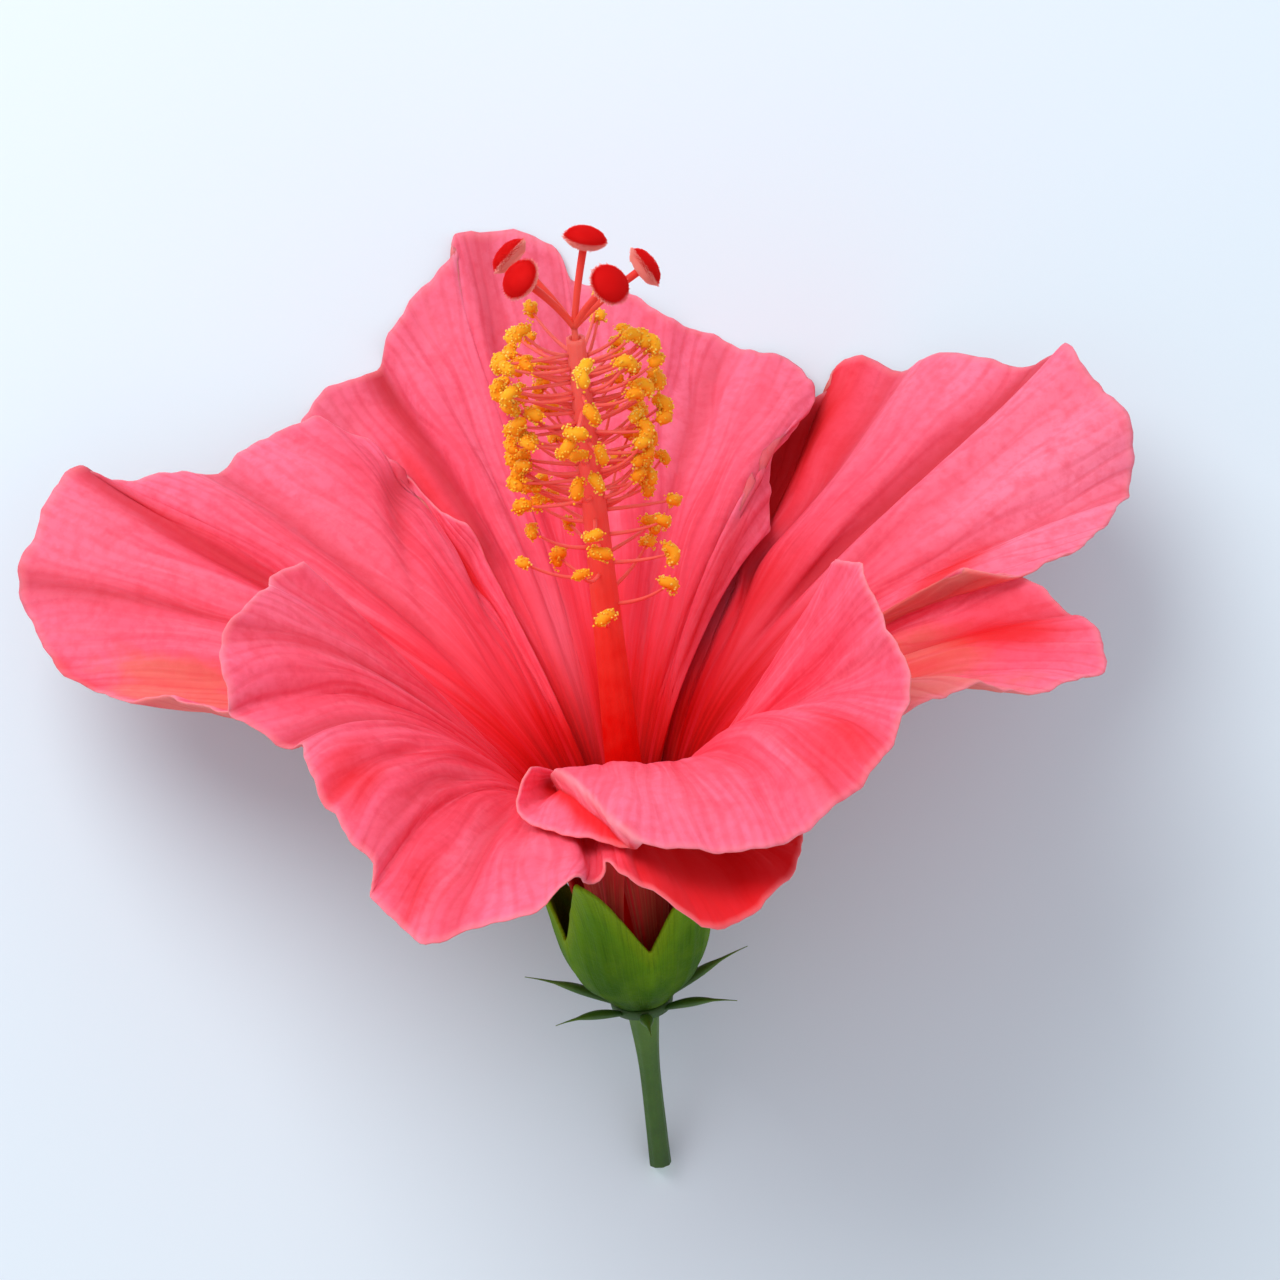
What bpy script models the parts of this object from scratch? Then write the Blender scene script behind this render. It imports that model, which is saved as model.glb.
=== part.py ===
"""A picked hibiscus flower, lying on its back petal and the cut end of its stalk.

The flower is modelled in its own frame, in millimetres: Z runs along its axis from the base of the
calyx, X to the right and Y to the back. One empty carries that frame to the pose at rest, where the
surface under the flower is at world z = 0.
"""

import math
import random

import bmesh
import bpy
from mathutils import Matrix, Vector
from mathutils.bvhtree import BVHTree

MM = 0.001

# How the picked flower lies: leaned back from upright, rolled a little to one side, and the base of
# its calyx set where the middle of the whole flower comes over the origin.
REST_TILT = math.radians(54.3)
REST_ROLL = math.radians(-3.0)
CALYX_BASE = Vector((1.35, -35.5, 11.5))
TO_REST = Matrix.Rotation(REST_ROLL, 4, "Y") @ Matrix.Rotation(-REST_TILT, 4, "X")

# Petals: heights and radii of the claw, and of the throat where the blade opens out. The pulls say
# how long a ray of the petal keeps the direction that it has at the throat. The rim step is about
# how far apart the rays of the petal meet its rim.
PETAL_THICKNESS = 0.7
CLAW_RADIUS = 4.4
CLAW_HEIGHT = 4.8
THROAT_RADIUS = 8.0
THROAT_HEIGHT = 26.0
THROAT_SLOPE = math.radians(58.0)
TUBE_PULL = 0.8
BLADE_PULL = 0.9
LAYER_STEP = 0.85
CLAW_SHARE = 0.55
THROAT_ROWS = 4
BLADE_ROWS = 10
RIM_STEP = 4.5

# Overlapping petals: the distance kept between their middle surfaces, how far off a petal is felt,
# and how far past its edge the one below still gives way.
PETAL_GAP = 1.45
GAP_REACH = 6.0
EDGE_REACH = 1.8
TUCK_FROM_ROW = 2
TUCK_ROUNDS = 24

# Each petal: the azimuths of its two edges at the throat, whether each edge runs inside (-1) or
# outside (+1) its neighbour, and its rim as (azimuth, reach, height, slope), anticlockwise.
PETALS = {
    "petal_back": {
        "throat": (50, 134),
        "layer": (-1, 1),
        "rim": [
            (55.6, 34, 40.5, 0), (59.5, 42, 45.5, -5), (59.3, 52, 47.9, 0), (61.1, 54, 49.6, 0),
            (65.4, 56, 49.7, 5), (73.4, 58, 50.5, 10), (77.9, 58.7, 52, 13), (81.6, 59, 55, 18),
            (88.7, 59.5, 57.9, 30), (90.1, 61, 61.2, 45), (94.2, 62, 63.8, 54), (100, 61.2, 65.6, 54),
            (100.8, 60.5, 63, 50), (103, 60.5, 61.1, 42), (106.4, 60.5, 58.5, 28),
            (109.7, 59, 54.6, 10), (112, 57.5, 53, 12), (116, 59.5, 51.5, 14), (122, 58, 48.5, 18),
            (131, 51, 43, 18), (138, 41, 37, 20),
        ],
    },
    "petal_left": {
        "throat": (116, 204),
        "layer": (-1, 1),
        "rim": [
            (115, 31, 46, 35), (117.8, 38, 46.8, 30), (118, 47.7, 49.8, 12), (122.4, 51.3, 52.5, 10),
            (126, 51.9, 52.5, 8), (133.6, 53.6, 52.2, 5), (138.3, 54.6, 51.5, 5), (142.3, 56, 52.5, 8),
            (145.5, 58.4, 52.8, 12), (146.6, 61.3, 54.3, 22), (147.9, 63, 56.1, 30),
            (151.5, 64.5, 54, 24), (156.1, 65.6, 50.4, 12), (158.3, 66, 48.2, 5), (160, 65, 44.5, -5),
            (162.8, 62, 41.8, -8), (166, 58, 39.5, -10), (170, 52.5, 40, 5), (173, 48, 41, 20),
            (181, 41, 43, 30), (192, 36, 44, 20), (202, 32, 42, 10),
        ],
    },
    "petal_front_left": {
        "throat": (186, 274),
        "layer": (-1, 1),
        "rim": [
            (189, 29.5, 60.5, 55), (193, 32.5, 61, 50), (197.3, 35, 60.9, 42), (203.8, 38.5, 61.9, 30),
            (207.5, 41.5, 61.3, 18), (210.4, 44, 59.4, 8), (212.2, 44.8, 56.6, 0),
            (213.5, 44.5, 54.5, 0), (219.9, 43, 53.8, 0), (223.9, 42.5, 53.7, 0),
            (226, 43.7, 52.2, -5), (231.2, 46, 50.7, -8), (237, 48.5, 48.9, -10),
            (240.9, 50, 47.4, -10), (241.4, 52.6, 45, -15), (244.6, 54, 43.8, -15),
            (248.9, 55.5, 42.9, -15), (253.8, 55.3, 44.4, -10), (257.4, 56, 45.5, 0),
            (261, 55, 46.9, 0), (264.5, 52.5, 48, 0), (267.6, 46.4, 46.4, 0), (269.8, 48.5, 46, -8),
            (272, 50, 43.6, -12), (277.9, 52, 40.3, -15), (284.6, 49.5, 40.2, -8), (291, 45.5, 41, 0),
            (299, 38, 41, 5),
        ],
    },
    "petal_front_right": {
        "throat": (256, 338),
        "layer": (-1, -1),
        "rim": [
            (257, 31, 47.4, 28), (255.2, 36, 46.4, 10), (258.3, 39, 46.6, -10), (263, 42, 47, -25),
            (267, 44, 47.1, -32), (270.9, 46, 47.3, -38), (275.5, 47, 46.7, -40), (281, 48, 46.1, -42),
            (285, 48.5, 45.8, -42), (288.8, 49, 46, -40), (291.4, 50, 47.4, -38), (294.2, 51, 50, -34),
            (296.5, 52, 51.8, -28), (299.8, 52, 53.4, -16), (302.5, 51, 55.1, 0), (305.5, 50, 57, 18),
            (307.2, 48, 59.5, 33), (310, 43, 62.5, 50), (314, 37, 65, 60), (322, 30, 61, 60),
        ],
    },
    "petal_right": {
        "throat": (-34, 60),
        "layer": (1, 1),
        "rim": [
            (-52, 38, 46, 10), (-43, 42, 49.5, 5), (-33, 43.5, 48, 0), (-24, 46, 44, -5),
            (-13.4, 52.5, 41.5, -10), (-8.4, 51.8, 42, -8), (-3.9, 50.6, 42.7, -5), (1.4, 48, 43, 0),
            (5, 45, 44.5, 8), (3, 38.5, 47.6, 20), (3.6, 42.3, 46, 10), (7.7, 48.7, 44.5, 3),
            (11.8, 52.8, 44, 0), (15, 57, 44, -3), (21.8, 63.5, 45, 5), (23.7, 65, 48.7, 12),
            (29.8, 65, 52.4, 25), (34.5, 65, 55.2, 30), (38.2, 63.5, 51.8, 17), (41, 62, 52, 15),
            (46.7, 61, 51.1, 18), (52.8, 60, 49.4, 22), (58.5, 59.5, 49.6, 35), (60.5, 58, 46, 40),
            (63, 55, 44.5, 34), (69, 47, 41.5, 28), (74, 37, 38, 25),
        ],
    },
}
PETAL_PAIRS = (
    ("petal_back", "petal_right"),
    ("petal_front_right", "petal_right"),
    ("petal_front_right", "petal_front_left"),
    ("petal_front_left", "petal_left"),
    ("petal_left", "petal_back"),
)

# Staminal column: a tube round the style, its base domed over the ovary. Its stamens stand in
# upright bands, each a bent filament with an anther at its tip.
BORE_RADIUS = 0.65
COLUMN_TOP = 80.0
COLUMN_OUTER = ((1.0, COLUMN_TOP), (1.25, 65.0), (1.6, 45.0), (1.75, 30.0), (1.8, 14.0),
                (2.3, 10.5), (3.4, 6.5), (3.5, 3.2))
COLUMN_INNER = ((2.7, 3.2), (2.7, 5.6), (BORE_RADIUS, 11.0), (BORE_RADIUS, COLUMN_TOP))
COLUMN_STEPS = 14
COLUMN_LEAN = 0.9
STAMEN_BANDS = 5
STAMENS_IN_BAND = 13
STAMEN_LOWEST = 46.0
STAMEN_HIGHEST = 78.5
STAMEN_CROWDING = 0.6
STAMEN_SPREAD = 16.0
STAMEN_REACH = (5.6, 8.4)
STAMEN_RISE = (0.4, 4.0)
STAMEN_ROOT = 0.9
STAMEN_SEED = 11
FILAMENT_RADIUS = 0.26
FILAMENT_BEND = (0.55, 0.3)
ANTHER_SIZE = (1.05, 0.8, 0.7)
ANTHER_SIDES = (6, 3)

# Pistil: ovary, style through the column, and five branches ending in round stigmas.
OVARY = ((0.5, 9.2), (1.6, 6.6), (2.3, 4.2), (1.6, 2.7), (0.0, 2.7))
STYLE_RADIUS = 0.33
STYLE_FORK = 81.8
STYLE_STEPS = 10
STIGMA_SIZE = (2.1, 2.1, 1.15)
STIGMA_SIDES = (10, 6)
STIGMAS = ((2.1, 0.6, 90.6), (-4.8, -3.0, 88.6), (-5.7, 3.2, 88.4), (4.0, -4.0, 87.4), (7.8, 2.2, 86.0))
BRANCH_RADII = (0.3, 0.36, 0.36)
BRANCH_SINK = 0.6
BRANCH_BEND = Vector((0.35, 0.35, 0.5))

# Calyx: a five-lobed cup, and the ring of slender bracts under it. The wall's radii are at even
# steps of height from its floor to the tips of the lobes.
CALYX_THICKNESS = 0.8
CALYX_FLOOR = 1.8
CALYX_RADII = (3.4, 5.9, 7.3, 8.0, 8.5, 9.3, 10.6, 12.4)
CALYX_SINUS = 11.5
CALYX_TIP = 22.9
CALYX_LOBE_AZIMUTH = 28.0
CALYX_LOBE_TAPER = 1.2
CALYX_COLUMNS = 40
CALYX_ROWS = 7
BRACT_COUNT = 7
BRACT_TURN = 0.3
BRACT_LENGTH = 9.5
BRACT_RISE = math.tan(math.radians(24.0))
BRACT_DROOP = 0.8
BRACT_ROOT = (2.95, 0.4)
BRACT_RADII = (0.42, 0.6, 0.25)
BRACT_RING = ((2.5, 1.1), (3.2, 1.1), (3.4, 0.7), (3.3, 0.1), (2.5, 0.1))
BRACT_RING_STEPS = 21

# Stalk: cut short below the flower.
STALK_PATH = ((0.0, -1.3, -19.75), (0.0, -0.9, -16.0), (0.0, -0.2, -8.0), (0.0, 0.0, -2.2), (0.0, 0.0, 1.1))
STALK_RADII = (1.2, 1.15, 1.15, 1.6, 2.1)

# Colour and roughness of each material.
FINISHES = {
    "petal": ((0.80, 0.10, 0.14, 1.0), 0.55),
    "column": ((0.75, 0.06, 0.03, 1.0), 0.5),
    "pistil": ((0.60, 0.01, 0.01, 1.0), 0.6),
    "calyx": ((0.13, 0.24, 0.02, 1.0), 0.5),
    "stalk": ((0.09, 0.18, 0.02, 1.0), 0.5),
}


def remove_everything():
    for thing in list(bpy.data.objects):
        bpy.data.objects.remove(thing, do_unlink=True)


def new_collection(name):
    collection = bpy.data.collections.new(name)
    bpy.context.scene.collection.children.link(collection)
    return collection


def new_material(name):
    colour, roughness = FINISHES[name]
    material = bpy.data.materials.new(name)
    material.use_nodes = True
    shader = material.node_tree.nodes["Principled BSDF"]
    shader.inputs["Base Color"].default_value = colour
    shader.inputs["Roughness"].default_value = roughness
    shader.inputs["Metallic"].default_value = 0.0
    return material


def object_from(mesh, name, collection, material=None):
    mesh.shade_smooth()
    thing = bpy.data.objects.new(name, mesh)
    collection.objects.link(thing)
    if material:
        mesh.materials.append(material)
    return thing


def finished_mesh(thing):
    """The object's mesh with its modifiers applied."""
    graph = bpy.context.evaluated_depsgraph_get()
    graph.update()
    return bpy.data.meshes.new_from_object(thing.evaluated_get(graph))


def catmull_rom(points, position):
    """A point on the smooth curve through the points, at a position counted in spans."""
    span = min(int(position), len(points) - 2)
    t = position - span
    a = points[max(span - 1, 0)]
    b, c = points[span], points[span + 1]
    d = points[min(span + 2, len(points) - 1)]
    return 0.5 * (2 * b + (c - a) * t + (2 * a - 5 * b + 4 * c - d) * t * t
                  + (3 * b - a - 3 * c + d) * t ** 3)


def hermite(start, start_pull, end, end_pull, t):
    return (start * (2 * t ** 3 - 3 * t * t + 1) + start_pull * (t ** 3 - 2 * t * t + t)
            + end * (3 * t * t - 2 * t ** 3) + end_pull * (t ** 3 - t * t))


def polar(azimuth, reach, height):
    return Vector((reach * math.cos(azimuth), reach * math.sin(azimuth), height))


def rim_samples(petal):
    """Points, slopes and share of the way along the rim, from its first edge to its last."""
    stations = petal["rim"]
    points = [polar(math.radians(azimuth), reach, height) for azimuth, reach, height, slope in stations]
    slopes = [Vector((slope, 0, 0)) for azimuth, reach, height, slope in stations]
    rim, tilt = [], []
    for i, (here, there) in enumerate(zip(points, points[1:])):
        steps = max(1, round((there - here).length / RIM_STEP))
        rim += [catmull_rom(points, i + step / steps) for step in range(steps)]
        tilt += [math.radians(catmull_rom(slopes, i + step / steps).x) for step in range(steps)]
    rim.append(points[-1])
    tilt.append(math.radians(slopes[-1].x))
    length = [0.0]
    for before, after in zip(rim, rim[1:]):
        length.append(length[-1] + (after - before).length)
    return rim, tilt, [along / length[-1] for along in length]


def petal_ray(petal, tip, tip_slope, share):
    """One line of points from the claw to the rim."""
    first, last = (math.radians(azimuth) for azimuth in petal["throat"])
    azimuth = first + (last - first) * share
    middle = (first + last) / 2
    layer = LAYER_STEP * (petal["layer"][0] * (1 - share) + petal["layer"][1] * share)
    claw = polar(middle + (azimuth - middle) * CLAW_SHARE, CLAW_RADIUS, CLAW_HEIGHT)
    throat = polar(azimuth, THROAT_RADIUS + layer, THROAT_HEIGHT)
    outward = Vector((tip.x - throat.x, tip.y - throat.y, 0)).normalized()
    flare = (polar(azimuth, 1, 0) + outward).normalized()
    throat_way = flare * math.cos(THROAT_SLOPE) + Vector((0, 0, math.sin(THROAT_SLOPE)))
    tube_pull = (throat - claw).length
    blade_pull = (tip - throat).length
    tip_way = outward * math.cos(tip_slope) + Vector((0, 0, math.sin(tip_slope)))
    claw_way = Vector((0, 0, 1))
    tube = [hermite(claw, claw_way * tube_pull, throat, throat_way * tube_pull * TUBE_PULL, i / THROAT_ROWS)
            for i in range(THROAT_ROWS)]
    blade = [hermite(throat, throat_way * blade_pull * BLADE_PULL, tip, tip_way * blade_pull, i / BLADE_ROWS)
             for i in range(BLADE_ROWS + 1)]
    return tube + blade


def petal_grid(petal):
    rim, slopes, shares = rim_samples(petal)
    return [petal_ray(petal, tip, slope, share) for tip, slope, share in zip(rim, slopes, shares)]


def grid_faces(grid):
    """Triangles over a grid of points, every square cut the same way."""
    rows = len(grid[0])
    faces = []
    for i in range(len(grid) - 1):
        for j in range(rows - 1):
            a, b = i * rows + j, (i + 1) * rows + j
            faces += [(a, b, b + 1), (a, b + 1, a + 1)]
    return faces


def surface_tree(grid):
    flat = [point for line in grid for point in line]
    return BVHTree.FromPolygons(flat, [tuple(reversed(face)) for face in grid_faces(grid)])


def smoothed(field):
    """Each vector averaged with its neighbours in the grid."""
    across, along = len(field), len(field[0])
    result = []
    for i in range(across):
        line = []
        for j in range(along):
            near = [field[k][j] for k in (i - 1, i + 1) if 0 <= k < across]
            near += [field[i][k] for k in (j - 1, j + 1) if 0 <= k < along]
            line.append((field[i][j] * 2 + sum(near, Vector())) / (2 + len(near)))
        result.append(line)
    return result


def tuck_under(lower, upper, rounds=TUCK_ROUNDS):
    """Sinks the lower petal where the upper one overlaps it, until it clears."""
    tree = surface_tree(upper)
    for _ in range(rounds):
        push = [[Vector() for _ in line] for line in lower]
        for i, line in enumerate(lower):
            for j, point in enumerate(line):
                if j < TUCK_FROM_ROW:
                    continue
                near, normal, _, distance = tree.find_nearest(point, GAP_REACH)
                if near is None:
                    continue
                away = point - near
                height = away.dot(normal)
                aside = (away - normal * height).length
                if height < -PETAL_GAP or aside > EDGE_REACH:
                    continue
                push[i][j] = normal * (-(height + PETAL_GAP) * (1 - aside / EDGE_REACH))
        push = smoothed(push)
        for i, line in enumerate(lower):
            for j in range(len(line)):
                line[j] = line[j] + push[i][j]


def flatten_on_floor(grid):
    """Presses what would reach under the surface into a flat spot on it."""
    lowest = PETAL_THICKNESS / 2 - CALYX_BASE.z
    back = TO_REST.inverted()
    for line in grid:
        for j, point in enumerate(line):
            rest = TO_REST @ point
            if rest.z < lowest:
                rest.z = lowest
                line[j] = back @ rest


def petal_object(name, grid, collection, material):
    mesh = bpy.data.meshes.new(name)
    mesh.from_pydata([point * MM for line in grid for point in line], [], grid_faces(grid))
    petal = object_from(mesh, name, collection, material)
    shell = petal.modifiers.new("thickness", "SOLIDIFY")
    shell.thickness = PETAL_THICKNESS * MM
    shell.offset = 0.0
    return petal


def turned(name, profile, steps, collection, material=None, closed=False):
    """A profile of (radius, height), down its outer side, turned about the axis."""
    mesh = bpy.data.meshes.new(name)
    edges = [(i, i + 1) for i in range(len(profile) - 1)]
    if closed:
        edges.append((len(profile) - 1, 0))
    mesh.from_pydata([Vector((radius, 0, height)) * MM for radius, height in profile], edges, [])
    thing = object_from(mesh, name, collection, material)
    screw = thing.modifiers.new("turn", "SCREW")
    screw.steps = steps
    screw.render_steps = steps
    screw.use_merge_vertices = True
    screw.merge_threshold = 0.00001
    return thing


def tapered_rod(name, path, radii, roundness, collection):
    """A solid rod along a path, with its own radius at each point."""
    curve = bpy.data.curves.new(name, "CURVE")
    curve.dimensions = "3D"
    curve.bevel_depth = MM
    curve.bevel_resolution = roundness
    curve.use_fill_caps = True
    spline = curve.splines.new("POLY")
    spline.points.add(len(path) - 1)
    for point, place, radius in zip(spline.points, path, radii):
        point.co = (*(Vector(place) * MM), 1.0)
        point.radius = radius
    source = bpy.data.objects.new(name, curve)
    collection.objects.link(source)
    mesh = finished_mesh(source)
    bpy.data.objects.remove(source, do_unlink=True)
    shape = bmesh.new()
    shape.from_mesh(mesh)
    bmesh.ops.remove_doubles(shape, verts=shape.verts, dist=0.000001)
    bmesh.ops.recalc_face_normals(shape, faces=shape.faces)
    shape.to_mesh(mesh)
    shape.free()
    return object_from(mesh, name, collection)


def blob(name, place, size, facing, sides, collection):
    """A flattened ball, its short side along the way it faces."""
    mesh = bpy.data.meshes.new(name)
    shape = bmesh.new()
    bmesh.ops.create_uvsphere(shape, u_segments=sides[0], v_segments=sides[1], radius=MM)
    turn = Vector(facing).to_track_quat("Z", "Y").to_matrix().to_4x4()
    bmesh.ops.transform(shape, matrix=turn @ Matrix.Diagonal((*size, 1.0)), verts=shape.verts)
    shape.to_mesh(mesh)
    shape.free()
    thing = object_from(mesh, name, collection)
    thing.location = Vector(place) * MM
    return thing


def join_all(body, pieces):
    """Joins every object of a collection to the body, and removes them."""
    union = body.modifiers.new("join", "BOOLEAN")
    union.operation = "UNION"
    union.operand_type = "COLLECTION"
    union.collection = pieces
    union.solver = "MANIFOLD"
    joined = finished_mesh(body)
    body.modifiers.clear()
    body.data = joined
    for piece in list(pieces.objects):
        bpy.data.objects.remove(piece, do_unlink=True)
    bpy.data.collections.remove(pieces)


def build_petals(flower, material):
    grids = {name: petal_grid(petal) for name, petal in PETALS.items()}
    for upper, lower in PETAL_PAIRS:
        tuck_under(grids[lower], grids[upper])
    for grid in grids.values():
        flatten_on_floor(grid)
    return [petal_object(name, grid, flower, material) for name, grid in grids.items()]


def lean(thing):
    """Bends what stands in the throat a little to the right above its base."""
    for vertex in thing.data.vertices:
        share = min(vertex.co.z / (THROAT_HEIGHT * MM), 1.0)
        vertex.co.x += COLUMN_LEAN * MM * share * share * (3 - 2 * share)


def build_column(flower, material):
    profile = COLUMN_OUTER + COLUMN_INNER
    column = turned("staminal_column", profile, COLUMN_STEPS, flower, material, closed=True)
    stamens = new_collection("stamens")
    draw = random.Random(STAMEN_SEED)
    count = STAMEN_BANDS * STAMENS_IN_BAND
    for i in range(count):
        share = (i + 0.5) / count
        height = STAMEN_LOWEST + (STAMEN_HIGHEST - STAMEN_LOWEST) * share ** STAMEN_CROWDING
        band = i % STAMEN_BANDS * 360 / STAMEN_BANDS - 90
        azimuth = math.radians(band + draw.uniform(-STAMEN_SPREAD, STAMEN_SPREAD))
        reach = draw.uniform(*STAMEN_REACH)
        rise = draw.uniform(*STAMEN_RISE)
        root = polar(azimuth, STAMEN_ROOT, height)
        bend = polar(azimuth, reach * FILAMENT_BEND[0], height + rise * FILAMENT_BEND[1])
        tip = polar(azimuth, reach, height + rise)
        tapered_rod(f"filament_{i}", (root, bend, tip), (FILAMENT_RADIUS,) * 3, 0, stamens)
        blob(f"anther_{i}", tip, ANTHER_SIZE, tip - bend, ANTHER_SIDES, stamens)
    join_all(column, stamens)
    lean(column)
    return column


def build_pistil(flower, material):
    profile = ((0.0, STYLE_FORK), (STYLE_RADIUS, STYLE_FORK), (STYLE_RADIUS, 11.0)) + OVARY
    pistil = turned("pistil", profile, STYLE_STEPS, flower, material)
    branches = new_collection("branches")
    fork = Vector((0, 0, STYLE_FORK - BRANCH_SINK))
    for i, place in enumerate(STIGMAS):
        tip = Vector(place)
        bend = fork + (tip - fork) * BRANCH_BEND
        tapered_rod(f"branch_{i}", (fork, bend, tip), BRANCH_RADII, 1, branches)
        blob(f"stigma_{i}", tip, STIGMA_SIZE, tip - bend, STIGMA_SIDES, branches)
    join_all(pistil, branches)
    lean(pistil)
    return pistil


def calyx_edge(azimuth):
    """Height of the calyx edge: high on the lobes, low in the notches between them."""
    turn = (azimuth - math.radians(CALYX_LOBE_AZIMUTH)) * 5 / (2 * math.pi)
    aside = abs(turn - round(turn)) * 2
    return CALYX_SINUS + (CALYX_TIP - CALYX_SINUS) * (1 - aside) ** CALYX_LOBE_TAPER


def calyx_radius(height):
    steps = len(CALYX_RADII) - 1
    radii = [Vector((radius, 0, 0)) for radius in CALYX_RADII]
    return catmull_rom(radii, steps * (height - CALYX_FLOOR) / (CALYX_TIP - CALYX_FLOOR)).x


def build_calyx(flower, material):
    grid = []
    for i in range(CALYX_COLUMNS + 1):
        azimuth = 2 * math.pi * i / CALYX_COLUMNS
        edge = calyx_edge(azimuth)
        line = [Vector((0, 0, CALYX_FLOOR))]
        for j in range(CALYX_ROWS + 1):
            height = CALYX_FLOOR + (edge - CALYX_FLOOR) * j / CALYX_ROWS
            line.append(polar(azimuth, calyx_radius(height), height))
        grid.append(line)
    mesh = bpy.data.meshes.new("calyx")
    mesh.from_pydata([point * MM for line in grid for point in line], [], grid_faces(grid))
    calyx = object_from(mesh, "calyx", flower, material)
    weld = calyx.modifiers.new("weld", "WELD")
    weld.merge_threshold = 0.00005
    shell = calyx.modifiers.new("thickness", "SOLIDIFY")
    shell.thickness = CALYX_THICKNESS * MM
    shell.offset = 0.0
    return calyx


def build_epicalyx(flower, material):
    ring = turned("epicalyx", BRACT_RING, BRACT_RING_STEPS, flower, material, closed=True)
    bracts = new_collection("bracts")
    for i in range(BRACT_COUNT):
        azimuth = 2 * math.pi * (i + BRACT_TURN) / BRACT_COUNT
        root = polar(azimuth, *BRACT_ROOT)
        middle = root + polar(azimuth, BRACT_LENGTH, BRACT_LENGTH * BRACT_RISE) / 2
        tip = root + polar(azimuth, BRACT_LENGTH, BRACT_LENGTH * BRACT_RISE * BRACT_DROOP)
        tapered_rod(f"bract_{i}", (root, middle, tip), BRACT_RADII, 1, bracts)
    join_all(ring, bracts)
    return ring


def build_stalk(flower, material):
    stalk = tapered_rod("pedicel", STALK_PATH, STALK_RADII, 2, flower)
    stalk.data.materials.append(material)
    return stalk


def lay_down(nodes):
    """Hangs every node on the flower's own frame and moves that frame to its pose at rest."""
    frame = bpy.data.objects.new("flower_frame", None)
    bpy.context.scene.collection.objects.link(frame)
    for node in nodes:
        node.parent = frame
    frame.matrix_world = Matrix.Translation(CALYX_BASE * MM) @ TO_REST


def main():
    remove_everything()
    flower = new_collection("hibiscus_flower")
    nodes = build_petals(flower, new_material("petal"))
    nodes.append(build_column(flower, new_material("column")))
    nodes.append(build_pistil(flower, new_material("pistil")))
    nodes.append(build_calyx(flower, new_material("calyx")))
    stalk = new_material("stalk")
    nodes.append(build_epicalyx(flower, stalk))
    nodes.append(build_stalk(flower, stalk))
    lay_down(nodes)


main()
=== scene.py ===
"""Looks of the picked hibiscus flower: fine petals, stamens, stigmas and greens around the CAD frame.

Shapes are worked out in the flower's own frame, in millimetres: Z runs along its axis from the base
of the calyx, X to the right and Y to the back. Meshes are stored where the flower lies at rest, with
the surface under it at world z = 0.
"""

import itertools
import math
import random

import bpy
import numpy as np
from mathutils import Matrix, Vector
from mathutils.bvhtree import BVHTree

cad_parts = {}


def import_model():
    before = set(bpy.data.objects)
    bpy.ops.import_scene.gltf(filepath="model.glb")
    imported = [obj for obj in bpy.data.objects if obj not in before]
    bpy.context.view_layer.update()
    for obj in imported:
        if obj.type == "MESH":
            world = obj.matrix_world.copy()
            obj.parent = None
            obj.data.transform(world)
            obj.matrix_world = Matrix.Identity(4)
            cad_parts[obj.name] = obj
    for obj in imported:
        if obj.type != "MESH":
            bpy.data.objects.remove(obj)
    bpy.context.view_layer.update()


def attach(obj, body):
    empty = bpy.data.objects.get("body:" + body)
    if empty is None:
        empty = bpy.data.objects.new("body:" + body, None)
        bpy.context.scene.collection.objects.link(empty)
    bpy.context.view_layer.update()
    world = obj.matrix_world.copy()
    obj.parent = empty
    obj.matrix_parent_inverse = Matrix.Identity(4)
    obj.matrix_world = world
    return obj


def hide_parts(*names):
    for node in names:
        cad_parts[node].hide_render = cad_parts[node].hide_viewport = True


MM = 0.001
UP = Vector((0, 0, 1))

# How the picked flower lies, as in the CAD.
REST_TILT = math.radians(54.3)
REST_ROLL = math.radians(-3.0)
CALYX_BASE = Vector((1.35, -35.5, 11.5))
TO_REST = Matrix.Rotation(REST_ROLL, 4, "Y") @ Matrix.Rotation(-REST_TILT, 4, "X")
FLOWER_FRAME = Matrix.Translation(CALYX_BASE * MM) @ TO_REST
REST_TURN = np.array(TO_REST.to_3x3())

# The photographer's place, in the flower's frame: how high above its mouth, how far off, how much the
# picture is rolled, and the point in the middle of the picture, right of and above the throat.
VIEW_HEIGHT = math.radians(30.0)
VIEW_DISTANCE = 600.0
VIEW_ROLL = math.radians(-6.5)
VIEW_THROAT = Vector((0.0, 0.0, 30.0))
VIEW_ASIDE = (2.63, 13.16)
VIEW_LENS = 160.3
FILM_WIDTH = 36.0

# Soft daylight from all round, a large lamp seen from the throat, and the floor, in metres.
SKY_COLOUR = (0.95, 0.975, 1.0, 1.0)
SKY_STRENGTH = 0.68
LAMP_WAY = Vector((-0.35, -0.3, 1.0))
LAMP_DISTANCE = 800.0
LAMP_SIZE = 0.6
LAMP_POWER = 4.4
LAMP_COLOUR = (1.0, 0.98, 0.95)
FLOOR_SIZE = 5.0
FLOOR_DROP = 0.0001

# Petals, as in the CAD: heights and radii of the claw and of the throat, and how long a ray keeps
# the direction that it has there.
CLAW_RADIUS = 4.4
CLAW_HEIGHT = 4.8
THROAT_RADIUS = 8.0
THROAT_HEIGHT = 26.0
THROAT_SLOPE = math.radians(58.0)
TUBE_PULL = 0.8
BLADE_PULL = 0.9
LAYER_STEP = 0.85
CLAW_SHARE = 0.55
THROAT_ROWS = 4
BLADE_ROWS = 10
TUBE_SHARE = THROAT_ROWS / BLADE_ROWS
RIM_STEP = 4.5
CAD_THICKNESS = 0.7
PETAL_GAP = 1.45
GAP_REACH = 6.0
EDGE_REACH = 1.8
TUCK_FROM_ROW = 2
TUCK_ROUNDS = 24

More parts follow.
